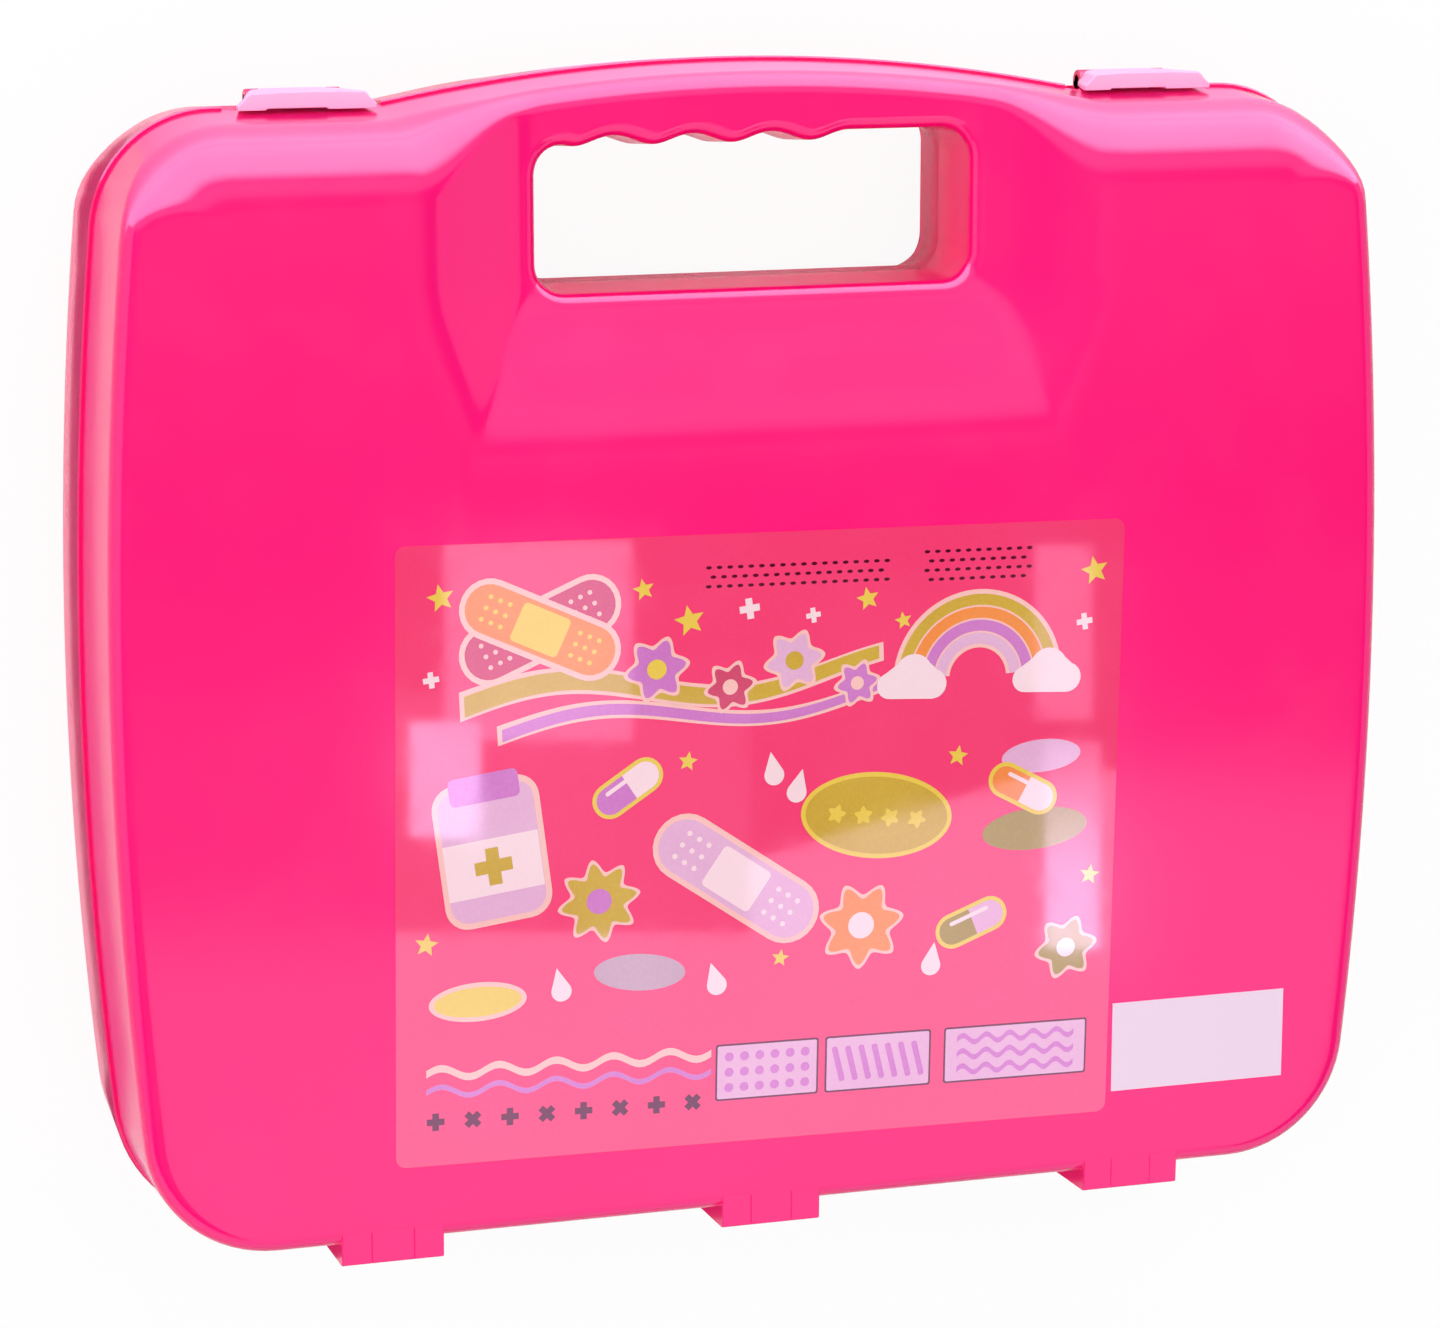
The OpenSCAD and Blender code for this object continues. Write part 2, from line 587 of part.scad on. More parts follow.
// ---- Push button: a cap with a stem that runs in a hole of the tool ----
module button(x, y, z) {
    translate([x, y, z]) rotate_extrude() polygon(concat(
        [[0, -1.6], [button_r, -1.6]], arc([button_r - 0.6, button_out - 0.6], 0.6, 0, 90, 5),
        [[button_r - 0.6, button_out], [0, button_out]]));
}
module button_hole(x, y, z) {
    translate([x, y, z - 1.6 - button_travel - 0.2]) cylinder(r = button_r + 0.15, h = 10);
}

// ---- Ear scope ----
scope_button_z = scope_z + scope_r - 1;
scope_button_y = scope_y + scope_l - 22;
module scope_handle() {
    r = scope_r;
    color(pale_pink) difference() {
        turned_y(scope_x, scope_y, scope_z, concat([[0, 0]], arc([r - 5, 5], 5, -90, 0, 6),
            [[r, 5], [r - 1.5, scope_l - 8], [r - 1.5, scope_l], [0, scope_l]]));
        translate([scope_x - 5, scope_button_y - 7, scope_button_z - 0.4]) cube([10, 14, 5]);
        button_hole(scope_x, scope_button_y, scope_button_z);
    }
}
module scope_button() {
    color(lilac) button(scope_x, scope_button_y, scope_button_z);
}
module scope_head() {
    color(mustard) union() {
        turned_y(scope_x, scope_y + scope_l, scope_z, [[0, 0], [scope_r, 0], [scope_r, 6], [5, 9], [0, 9]]);
        difference() {
            translate([scope_x - 9, scope_head_y, scope_z]) rotate([0, 90, 0]) rotate_extrude() polygon([
                [0, 0], [scope_head_r - 1, 0], [scope_head_r, 1], [scope_head_r, 6], [6, scope_head_w - 6],
                [3, scope_head_w], [1.6, scope_head_w], [1.6, scope_head_w - 7], [4, 6], [0, 6]]);
            translate([scope_x - 10, scope_head_y, scope_z]) rotate([0, 90, 0]) cylinder(r = 10, h = 3);
        }
        translate([scope_x - 5, scope_y + scope_l + 5, scope_z - 4]) cube([8, 6, 8]);
    }
}
module scope_lens() {
    color(clear_pink, 0.6) translate([scope_x - 8.6, scope_head_y, scope_z]) rotate([0, 90, 0])
        cylinder(r = 9.95, h = 1.6);
}

// ---- Reflex hammer ----
module hammer_handle() {
    color(orange) turned_y(hammer_x, hammer_y, hammer_z, concat([[0, 0]], arc([2, 5], 5, -90, 0, 6),
        [[7, 5], [6, 30], [4.2, 44], [4, hammer_handle_l - 2.9], [0, hammer_handle_l - 2.9]]));
}
module hammer_head() {
    h = hammer_l / 2 - 6;
    color(orange) x_shape(hammer_x - h, hammer_head_y, hammer_z,
        [[0, 0], [hammer_r - 1, 0], [hammer_r - 2.2, h - 7], [hammer_r - 2.2, h + 7],
            [hammer_r - 1, 2 * h], [0, 2 * h]]);
}
module x_shape(x, y, z, profile) {
    translate([x, y, z]) rotate([0, 90, 0]) rotate_extrude() polygon(profile);
}
module hammer_band() {
    color(white) x_shape(hammer_x - 5.5, hammer_head_y, hammer_z, [
        [hammer_r - 2.2, 0], [hammer_r - 0.8, 0], [hammer_r - 0.3, 1.2], [hammer_r - 0.3, 9.8],
        [hammer_r - 0.8, 11], [hammer_r - 2.2, 11]]);
}
module hammer_bumpers() {
    color(mustard) for (s = [-1, 1]) translate([hammer_x + s * (hammer_l / 2 - 6), hammer_head_y, hammer_z])
        rotate([0, s * 90, 0]) rotate_extrude() polygon(concat(
            [[0, 0], [hammer_r - 1, 0]], arc([hammer_r - 4, 3], 4, 0, 60, 5), [[4, 6], [0, 6]]));
}

// ---- Thermometer ----
thermo_h = 11;
screen_x = 8;
thermo_button_x = thermo_x - 18;
thermo_top = floor_z + thermo_h;
module thermometer_body() {
    color(pale_pink) difference() {
        union() {
            translate([thermo_x, thermo_y, floor_z]) linear_extrude(thermo_h - 1.5)
                polygon(round_rect(thermo_l, thermo_w, thermo_w / 2 - 0.1, 10));
            translate([thermo_x, thermo_y, floor_z + thermo_h - 1.5]) linear_extrude(1.5)
                polygon(round_rect(thermo_l - 3, thermo_w - 3, thermo_w / 2 - 1.6, 10));
        }
        translate([thermo_x + screen_x, thermo_y, thermo_top - 1]) linear_extrude(2)
            polygon(round_rect(24, 10, 2));
        button_hole(thermo_button_x, thermo_y, thermo_top);
    }
}
module thermometer_screen() {
    color(dark) translate([thermo_x + screen_x, thermo_y, thermo_top - 1]) linear_extrude(0.8)
        polygon(round_rect(23.8, 9.8, 1.9));
}
module thermometer_button() {
    color(lilac) button(thermo_button_x, thermo_y, thermo_top);
}
module thermometer_tip() {
    color("silver") translate([thermo_x - thermo_l / 2, thermo_y, floor_z + thermo_h / 2]) rotate([0, -90, 0])
        rotate_extrude() polygon(concat(
            [[0, 0], [4, 0], [3, 6]], arc([1, 10], 1.5, 0, 90, 5), [[1, 11.5], [0, 11.5]]));
}

// ---- Dental mirror ----
module mirror_handle() {
    color(mustard) x_shape(mirror_x0, mirror_y, mirror_z, concat([[0, 0]], arc([2, 5], 5, -90, 0, 6),
        [[7, 5], [6, mirror_l - 20], [4.4, mirror_l - 2], [3, mirror_l], [0, mirror_l]]));
}
module mirror_neck() {
    color(white) x_shape(mirror_x0 + mirror_l, mirror_y, mirror_z,
        [[0, 0], [2.6, 0], [1.8, neck_l], [0, neck_l]]);
}
mirror_cx = mirror_x0 + mirror_l + neck_l + mirror_r + 0.2 + rest_gap;
module mirror_frame() {
    color(white) difference() {
        translate([mirror_cx, mirror_y, mirror_z - 2.4]) rotate_extrude() polygon([
            [0, 0], [mirror_r - 1.5, 0], [mirror_r + 0.2, 1.5], [mirror_r + 0.2, 3.3],
            [mirror_r - 1, 4.4], [0, 4.4]]);
        translate([mirror_cx, mirror_y, mirror_z + 1]) cylinder(r = mirror_r - 1.8, h = 3);
    }
}
module mirror_glass() {
    color("silver") translate([mirror_cx, mirror_y, mirror_z + 1]) cylinder(r = mirror_r - 1.85, h = 0.8);
}

// ---- Pulse checker ----
pulse_t = 17;
pulse_top = floor_z + pulse_t;
module pulse_body() {
    color(pale_pink) difference() {
        union() {
            translate([pulse_x, pulse_y, floor_z]) linear_extrude(pulse_t - 2)
                polygon(round_rect(pulse_w, pulse_l, 6));
            translate([pulse_x, pulse_y, floor_z + pulse_t - 2]) linear_extrude(2)
                polygon(round_rect(pulse_w - 4, pulse_l - 4, 4));
        }
        translate([pulse_x, pulse_y + 8, pulse_top - 1]) linear_extrude(2) polygon(round_rect(20, 10, 2));
        button_hole(pulse_x, pulse_y - 10, pulse_top);
    }
}
module pulse_screen() {
    color(dark) translate([pulse_x, pulse_y + 8, pulse_top - 1]) linear_extrude(0.8)
        polygon(round_rect(19.8, 9.8, 1.9));
}
module pulse_button() {
    color(lilac) button(pulse_x, pulse_y - 10, pulse_top);
}
module pulse_cuff() {
    color(lilac) turned_y(pulse_x, pulse_y + pulse_l / 2, floor_z + 12, [
        [0, 0], [8, 0], [8, 2], [cuff_r - 0.8, 4], [cuff_r, 6], [cuff_r, cuff_l - 3],
        [cuff_r - 1.3, cuff_l], [0, cuff_l]]);
}

// ---- Name badge ----
module badge_card() {
    color(white) translate([badge_x, badge_y, badge_z]) linear_extrude(2)
        polygon(round_rect(badge_w, badge_h, 4));
}
module badge_clip() {
    color(lilac) translate([badge_x, badge_y + badge_h / 2 - 7, badge_z + 2]) linear_extrude(2.4)
        polygon(round_rect(16, 7, 2));
}

// ---- Stethoscope ----
chest_h = 13.5;
module chest_piece() {
    color(lilac) difference() {
        union() {
            translate([chest_x, chest_y, chest_z]) rotate_extrude() polygon([
                [0, 0], [chest_r - 1.5, 0], [chest_r, 1.5], [chest_r, 8], [chest_r - 2, 10], [11, 11.5],
                [9, chest_h], [0, chest_h]]);
            turned_y(chest_x, chest_y - chest_r - 3, tube_z,
                [[0, 0], [tube_r + 0.8, 0], [tube_r + 0.8, 9], [0, 9]]);
        }
        button_hole(chest_x, chest_y, chest_z + chest_h);
    }
}
module chest_diaphragm() {
    color(white) translate([chest_x, chest_y, chest_z - 1.2]) cylinder(r = chest_r - 2.2, h = 1.2);
}
module chest_button() {
    color(pink) button(chest_x, chest_y, chest_z + chest_h);
}
module stethoscope_tube() {
    start_y = chest_y - chest_r - 3;
    color(pale_pink) union() {
        translate([chest_x, loop_y, tube_z]) rotate([-90, 0, 0]) cylinder(r = tube_r, h = start_y - loop_y);
        translate([chest_x + loop_r, loop_y, tube_z]) rotate([0, 0, 180]) rotate_extrude(angle = 180)
            translate([loop_r, 0]) circle(r = tube_r);
        translate([yoke_x, loop_y, tube_z]) rotate([-90, 0, 0]) cylinder(r = tube_r, h = yoke_y - loop_y);
    }
}
module stethoscope_yoke() {
    color(lilac) difference() {
        turned_y(yoke_x, yoke_y, tube_z, [
            [0, 0], [tube_r + 0.6, 0], [tube_r + 1.8, 3], [tube_r + 2.6, 12], [tube_r + 0.8, 16], [0, 16]]);
        ear_bow(arm_tube + rest_gap);
    }
}
arm_tube = 2.4;
arm_top = yoke_y + 14 + arm_r;
module ear_bow(r) {
    translate([yoke_x, arm_top, tube_z]) rotate([0, 0, 180]) rotate_extrude(angle = 180)
        translate([arm_r, 0]) circle(r = r);
}
module ear_arms() {
    color(pale_pink) union() {
        for (s = [-1, 1]) {
            translate([yoke_x + s * arm_r, arm_top, tube_z]) rotate([-90, 0, 0])
                cylinder(r = arm_tube, h = arm_l);
        }
        ear_bow(arm_tube);
    }
}
module ear_tips() {
    color(lilac) for (s = [-1, 1]) turned_y(yoke_x + s * arm_r, arm_top + arm_l, tube_z,
        concat([[0, 0], [3, 0], [3, 1.5], [4.4, 3]], arc([1.4, 5], 3, 0, 90, 6), [[1.4, 8], [0, 8]]));
}

// The whole case is set so that the origin lies under the middle of its box
module place() {
    translate([0, -mid_y, 0]) children();
}

place() base_shell();
place() lid_shell();
place() hinge_pins();
place() latch(-latch_x);  // latch_left
place() latch(latch_x);  // latch_right
place() latch_pins();
place() label_film();
place() info_sticker();
place() tool_tray();
place() syringe_barrel();
place() syringe_nozzle();
place() syringe_plunger();
place() scope_handle();
place() scope_head();
place() scope_lens();
place() scope_button();
place() hammer_handle();
place() hammer_head();
place() hammer_band();
place() hammer_bumpers();
place() thermometer_body();
place() thermometer_tip();
place() thermometer_screen();
place() thermometer_button();
place() mirror_handle();
place() mirror_neck();
place() mirror_frame();
place() mirror_glass();
place() pulse_body();
place() pulse_cuff();
place() pulse_screen();
place() pulse_button();
place() badge_card();
place() badge_clip();
place() chest_piece();
place() chest_diaphragm();
place() chest_button();
place() stethoscope_tube();
place() stethoscope_yoke();
place() ear_arms();
place() ear_tips();
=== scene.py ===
"""Toy doctor case: a pink moulded carry case with a hinged lid, two latches and a tray of toy tools.

Lengths are millimetres in the case's own frame until a mesh is made. x runs across the case, y towards the
carrying grip and z out of the labelled lid. Heights named h are measured from the seam between the halves.
"""
import json
import logging
import math
from dataclasses import dataclass, field
from enum import Enum
from typing import Iterable, Sequence

import bmesh
import bpy
import numpy as np
from mathutils import Matrix, Vector


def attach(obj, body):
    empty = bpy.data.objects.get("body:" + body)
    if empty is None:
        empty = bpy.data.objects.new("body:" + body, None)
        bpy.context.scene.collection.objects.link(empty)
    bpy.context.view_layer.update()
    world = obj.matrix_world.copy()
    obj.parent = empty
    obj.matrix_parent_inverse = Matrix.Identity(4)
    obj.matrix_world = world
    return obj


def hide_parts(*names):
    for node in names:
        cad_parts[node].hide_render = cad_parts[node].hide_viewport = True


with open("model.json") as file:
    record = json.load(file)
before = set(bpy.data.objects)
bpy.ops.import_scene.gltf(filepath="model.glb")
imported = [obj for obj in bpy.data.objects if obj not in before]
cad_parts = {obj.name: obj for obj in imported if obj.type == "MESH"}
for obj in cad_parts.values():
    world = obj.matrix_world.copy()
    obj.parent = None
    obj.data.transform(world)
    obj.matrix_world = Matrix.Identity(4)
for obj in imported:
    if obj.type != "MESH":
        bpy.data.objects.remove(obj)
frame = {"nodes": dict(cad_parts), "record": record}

LOG = logging.getLogger("doctor_case")
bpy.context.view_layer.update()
MM = 0.001
Colour = tuple[float, float, float]
Points = np.ndarray


def smoothstep(t: Points) -> Points:
    """Rise smoothly from 0 to 1 as t goes from 0 to 1."""
    u = np.clip(t, 0, 1)
    return u * u * (3 - 2 * u)


def soft_ramp(t: Points, width: float) -> Points:
    """Rise in a straight line from 0 to 1 with rounded ends.

    Args:
        t: Where on the ramp, 0 at its start and 1 at its end.
        width: How much of the ramp each rounded end takes.

    Returns:
        The ramp's height at each t.
    """
    def knee(v: Points) -> Points:
        """Follow v above 0, with a rounded start."""
        return (v + np.sqrt(v * v + width * width)) / 2
    return knee(t) - knee(t - 1)


def arc(centre: Sequence[float], radius: float, start: float, end: float, steps: int) -> Points:
    """Points along an arc.

    Args:
        centre: Middle of the arc.
        radius: Radius of the arc.
        start: First angle in degrees.
        end: Last angle in degrees.
        steps: Number of segments.

    Returns:
        An array of steps + 1 points.
    """
    a = np.radians(np.linspace(start, end, steps + 1))
    return np.column_stack([centre[0] + radius * np.cos(a), centre[1] + radius * np.sin(a)])


def placed(name: str, data: bpy.types.ID) -> bpy.types.Object:
    """Put a mesh, a lamp or a camera into the scene.

    Args:
        name: The new object's name.
        data: What the object holds.

    Returns:
        The new object.
    """
    made = bpy.data.objects.new(name, data)
    bpy.context.scene.collection.objects.link(made)
    return made


# ---------------------------------------------------------------- shaders

class Value:
    """A number in a shader, with the usual operators.

    Attributes:
        shader: The shader that the number belongs to.
        socket: The output that gives the number.
    """

    def __init__(self, shader: "Shader", socket: bpy.types.NodeSocket) -> None:
        """Wrap an output socket."""
        self.shader = shader
        self.socket = socket

    def math(self, operation: str, other: "Value | float") -> "Value":
        """Add a Math node.

        Args:
            operation: The node's operation.
            other: The second input.

        Returns:
            The node's result.
        """
        made = self.shader.node("ShaderNodeMath", {"operation": operation}, {0: self, 1: other})
        return Value(self.shader, made.outputs[0])

    def __add__(self, other: "Value | float") -> "Value":
        """Sum."""
        return self.math("ADD", other)

    __radd__ = __add__

    def __mul__(self, other: "Value | float") -> "Value":
        """Product."""
        return self.math("MULTIPLY", other)

    __rmul__ = __mul__

    def ramp(self, low: float, high: float, to_low: float = 0.0, to_high: float = 1.0) -> "Value":
        """Map a range smoothly onto another and hold its ends.

        Args:
            low: Where the change starts.
            high: Where the change ends.
            to_low: Result up to low.
            to_high: Result from high on.

        Returns:
            The mapped number.
        """
        made = self.shader.node("ShaderNodeMapRange", {"interpolation_type": "SMOOTHSTEP"},
                                {0: self, 1: low, 2: high, 3: to_low, 4: to_high})
        return Value(self.shader, made.outputs[0])


class Shader:
    """One material and its nodes.

    Attributes:
        material: The material.
        tree: Its node tree.
        output: Its output node.
        surface: Its Principled shader.
    """

    def __init__(self, name: str) -> None:
        """Make a material with an empty Principled shader.

        Args:
            name: The material's name.
        """
        self.material = bpy.data.materials.new(name)
        self.material.use_nodes = True
        self.tree = self.material.node_tree
        self.tree.nodes.clear()
        self.output = self.tree.nodes.new("ShaderNodeOutputMaterial")
        self.surface = self.tree.nodes.new("ShaderNodeBsdfPrincipled")
        self.tree.links.new(self.surface.outputs[0], self.output.inputs[0])

    def put(self, socket: bpy.types.NodeSocket, value: object) -> None:
        """Link or set one input.

        Args:
            socket: The input.
            value: A number, a colour or an output.
        """
        if isinstance(value, Value):
            value = value.socket
        if isinstance(value, bpy.types.NodeSocket):
            self.tree.links.new(value, socket)
        elif isinstance(value, tuple) and socket.type == "RGBA":
            socket.default_value = (*value, 1.0)
        else:
            socket.default_value = value

    def node(self, kind: str, settings: dict | None = None, inputs: dict | None = None) -> bpy.types.Node:
        """Add a node.

        Args:
            kind: The node's type.
            settings: Attributes that are set before anything is linked.
            inputs: Values or links by the input's name or number.

        Returns:
            The new node.
        """
        made = self.tree.nodes.new(kind)
        for key, value in (settings or {}).items():
            setattr(made, key, value)
        for key, value in (inputs or {}).items():
            self.put(made.inputs[key], value)
        return made

    def set(self, **inputs: object) -> None:
        """Set the Principled shader's inputs, with _ for each space in a name."""
        for key, value in inputs.items():
            self.put(self.surface.inputs[key.replace("_", " ")], value)

    def place(self, stretch: Sequence[float] = (1.0, 1.0, 1.0)) -> bpy.types.NodeSocket:
        """Place on the piece in millimetres, which moves with the piece.

        Args:
            stretch: Factor on each axis.

        Returns:
            A vector output.
        """
        where = self.node("ShaderNodeTexCoord").outputs["Object"]
        scale = tuple(s / MM for s in stretch)
        return self.node("ShaderNodeVectorMath", {"operation": "MULTIPLY"}, {0: where, 1: scale}).outputs[0]

    def axes(self) -> list[Value]:
        """The place's x, y and z in millimetres."""
        split = self.node("ShaderNodeSeparateXYZ", None, {0: self.place()})
        return [Value(self, out) for out in split.outputs]

    def noise(self, size: float, detail: float = 2.0, stretch: Sequence[float] = (1.0, 1.0, 1.0)) -> Value:
        """Soft noise.

        Args:
            size: Size of its blotches in millimetres.
            detail: Its finer octaves.
            stretch: Factor on each axis of the place.

        Returns:
            A number from about 0.3 to 0.7.
        """
        made = self.node("ShaderNodeTexNoise", None, {
            "Vector": self.place(stretch), "Scale": 1 / size, "Detail": detail, "Roughness": 0.5})
        return Value(self, made.outputs[0])

    def mix(self, share: "Value | float", low: object, high: object) -> bpy.types.NodeSocket:
        """Blend two colours by a share from 0, low, to 1, high."""
        settings = {"data_type": "RGBA", "clamp_factor": True}
        return self.node("ShaderNodeMix", settings, {0: share, 6: low, 7: high}).outputs[2]

    def bump(self, height: Value, depth: float) -> None:
        """Raise the surface.

        Args:
            height: Height from 0 to 1.
            depth: Real height of 1, in millimetres.
        """
        inputs = {"Strength": 1.0, "Distance": depth * MM, "Height": height}
        self.set(Normal=self.node("ShaderNodeBump", None, inputs).outputs[0])


@dataclass(frozen=True)
class Plastic:
    """A moulded plastic, with flow marks, a faint orange-peel skin and handling marks in its gloss.

    Attributes:
        name: Name of the material.
        colour: Linear colour.
        deep: Linear colour where the plastic is thicker.
        roughness: Roughness of the clean skin.
        dulling: Extra roughness where it has been handled.
        peel: Depth of the orange-peel skin in millimetres.
        clear: Share of light that passes through.
        metal: How metallic it is.
        coat: Weight of a clear coat.
    """
    name: str
    colour: Colour
    deep: Colour
    roughness: float = 0.3
    dulling: float = 0.08
    peel: float = 0.006
    clear: float = 0.0
    metal: float = 0.0
    coat: float = 0.0

    def tone(self, shader: Shader) -> object:
        """Base colour, as a colour output."""
        flow = shader.noise(60, 3, (1.0, 0.5, 1.0))
        return shader.mix(flow.ramp(0.3, 0.7), self.colour, self.deep)

    def material(self) -> bpy.types.Material:
        """Make the material.

        Returns:
            The new material.
        """
        shader = Shader(self.name)
        handling = shader.noise(14, 4).ramp(0.45, 0.72)
        scuffs = shader.noise(1.1, 2, (1.0, 0.08, 1.0)).ramp(0.6, 0.75)
        shader.set(Base_Color=self.tone(shader), IOR=1.49, Metallic=self.metal, Coat_Weight=self.coat,
                   Roughness=self.roughness + handling * self.dulling + scuffs * (self.dulling * 0.4),
                   Transmission_Weight=self.clear)
        shader.bump(shader.noise(2.6, 2), self.peel)
        return shader.material


@dataclass(frozen=True)
class CasePlastic(Plastic):
    """The case halves' plastic, with painted shade in a darker band round the base half's wall up to the
    seam.

    Attributes:
        rim: Linear colour of the painted shade band along the base's rim.
        rim_low: Lower edge of the painted shade band, in millimetres above the back face.
        rim_blend: Length over which the painted shade comes in from below.
        rim_high: Upper edge of the painted shade band.
    """
    # Colour of the painted shade band on the base's wall below the seam.
    rim: Colour = (0.75, 0.012, 0.13)
    rim_low: float = 12.0
    rim_blend: float = 8.0
    rim_high: float = 32.0

    def tone(self, shader: Shader) -> object:
        """Base colour with a band of painted shade along the base's rim.

        Args:
            shader: The material's shader.

        Returns:
            A colour output.
        """
        plain = super().tone(shader)
        z = shader.axes()[2]
        # Painted shade: the colour turns darker from rim_low, over rim_blend, up to rim_high at the seam.
        above = z.ramp(self.rim_low, self.rim_low + self.rim_blend)
        below = z.ramp(self.rim_high - 0.2, self.rim_high + 0.1, 1.0, 0.0)
        return shader.mix(above * below, plain, self.rim)


@dataclass(frozen=True)
class Film:
    """A printed film, glossier than the plastic under it.

    Attributes:
        name: Name of the material.
        colour: Linear colour.
        worn: Linear colour of its paler patches.
        roughness: Roughness of the film.
    """
    name: str
    colour: Colour
    worn: Colour
    roughness: float = 0.035

    def material(self) -> bpy.types.Material:
        """Make the material.

        Returns:
            The new material.
        """
        shader = Shader(self.name)
        patch = shader.noise(26, 2).ramp(0.35, 0.7)
        dots = shader.noise(0.5, 1).ramp(0.4, 0.62) * 0.35
        shader.set(Base_Color=shader.mix(patch * 0.65 + dots, self.colour, self.worn), IOR=1.8,
                   Roughness=self.roughness + shader.noise(7, 3).ramp(0.45, 0.7) * 0.02)
        shader.bump(shader.noise(24, 1), 0.006)
        return shader.material


class Finish(Enum):
    """The finishes of the case and of what it holds."""
    # The case finish carries the band of painted shade on the base's wall below the seam.
    CASE = CasePlastic("case_plastic_painted_shade", (0.98, 0.004, 0.185), (0.98, 0.003, 0.175), 0.12, 0.03, 0.002)
    LID = Plastic("lid_plastic", (0.98, 0.004, 0.185), (0.98, 0.003, 0.175), 0.12, 0.03, 0.002)
    LATCH = Plastic("latch_plastic", (0.98, 0.58, 0.84), (0.96, 0.52, 0.80), 0.3, 0.04, 0.004, clear=0.12)
    PIN = Plastic("pin_wire", (0.62, 0.62, 0.64), (0.5, 0.5, 0.53), 0.32, peel=0.002, metal=1.0)
    LABEL = Film("label_film", (0.92, 0.046, 0.165), (0.93, 0.056, 0.185))
    STICKER = Film("sticker_film", (0.65, 0.33, 0.42), (0.69, 0.37, 0.46), 0.2)
    TRAY = Plastic("tray_sheet", (0.93, 0.46, 0.64), (0.9, 0.4, 0.58), 0.3, peel=0.02)
    SOFT = Plastic("pale_pink_plastic", (0.93, 0.6, 0.75), (0.9, 0.54, 0.7), 0.32)
    TUBE = Plastic("vinyl_tube", (0.92, 0.55, 0.72), (0.88, 0.48, 0.66), 0.42, peel=0.01)
    LILAC = Plastic("lilac_plastic", (0.58, 0.28, 0.66), (0.5, 0.22, 0.6), 0.3)
    MUSTARD = Plastic("mustard_plastic", (0.56, 0.42, 0.03), (0.48, 0.34, 0.02), 0.34)
    ORANGE = Plastic("orange_plastic", (0.9, 0.27, 0.03), (0.84, 0.2, 0.02), 0.32)
    WHITE = Plastic("white_plastic", (0.88, 0.86, 0.88), (0.82, 0.8, 0.83), 0.3)
    BOARD = Plastic("badge_board", (0.86, 0.84, 0.86), (0.8, 0.76, 0.8), 0.55, peel=0.01)
    SILVER = Plastic("silver_plastic", (0.75, 0.75, 0.78), (0.66, 0.66, 0.7), 0.18, peel=0.003, metal=1.0)
    SCREEN = Plastic("dark_window", (0.03, 0.012, 0.02), (0.05, 0.02, 0.035), 0.12, peel=0.0, coat=0.5)
    LENS = Plastic("lens_plastic", (0.95, 0.7, 0.85), (0.95, 0.66, 0.82), 0.08, peel=0.0, clear=0.7)
    MIRROR = Plastic("mirror_foil", (0.86, 0.87, 0.9), (0.8, 0.81, 0.85), 0.05, 0.04, 0.004, metal=1.0)
    CREAM = Film("print_cream", (0.93, 0.50, 0.46), (0.95, 0.55, 0.52))
    WHITE_INK = Film("print_white", (0.93, 0.66, 0.72), (0.95, 0.70, 0.76))
    MUSTARD_INK = Film("print_mustard", (0.60, 0.36, 0.04), (0.66, 0.42, 0.06))
    YELLOW_INK = Film("print_yellow", (0.82, 0.55, 0.07), (0.86, 0.6, 0.1))
    ORANGE_INK = Film("print_orange", (0.90, 0.24, 0.05), (0.92, 0.3, 0.08))
    LILAC_INK = Film("print_lilac", (0.60, 0.17, 0.52), (0.66, 0.22, 0.58))
    PALE_LILAC = Film("print_pale_lilac", (0.76, 0.40, 0.62), (0.8, 0.46, 0.66))
    ROSE_INK = Film("print_rose", (0.62, 0.06, 0.14), (0.68, 0.08, 0.17))
    OLIVE_INK = Film("print_olive", (0.36, 0.25, 0.04), (0.42, 0.3, 0.06))
    GREY_INK = Film("print_grey", (0.52, 0.33, 0.42), (0.58, 0.38, 0.47))
    DARK_INK = Film("print_plum", (0.09, 0.004, 0.02), (0.13, 0.008, 0.03))

    def material(self) -> bpy.types.Material:
        """The finish's material, made once."""
        return bpy.data.materials.get(self.value.name) or self.value.material()


SLOT_FINISH = {
    "case_pink": Finish.LID, "latch_pink": Finish.LATCH, "pin_metal": Finish.PIN,
    "label_print": Finish.LABEL, "sticker_film": Finish.STICKER, "tray_pink": Finish.TRAY,
    "soft_pink": Finish.SOFT, "tube_pink": Finish.TUBE, "lilac_plastic": Finish.LILAC,
    "mustard_plastic": Finish.MUSTARD, "orange_plastic": Finish.ORANGE, "white_plastic": Finish.WHITE,
    "badge_board": Finish.BOARD, "silver_plastic": Finish.SILVER, "dark_screen": Finish.SCREEN,
    "lens_clear": Finish.LENS, "mirror_face": Finish.MIRROR,
}


# ---------------------------------------------------------------- pieces

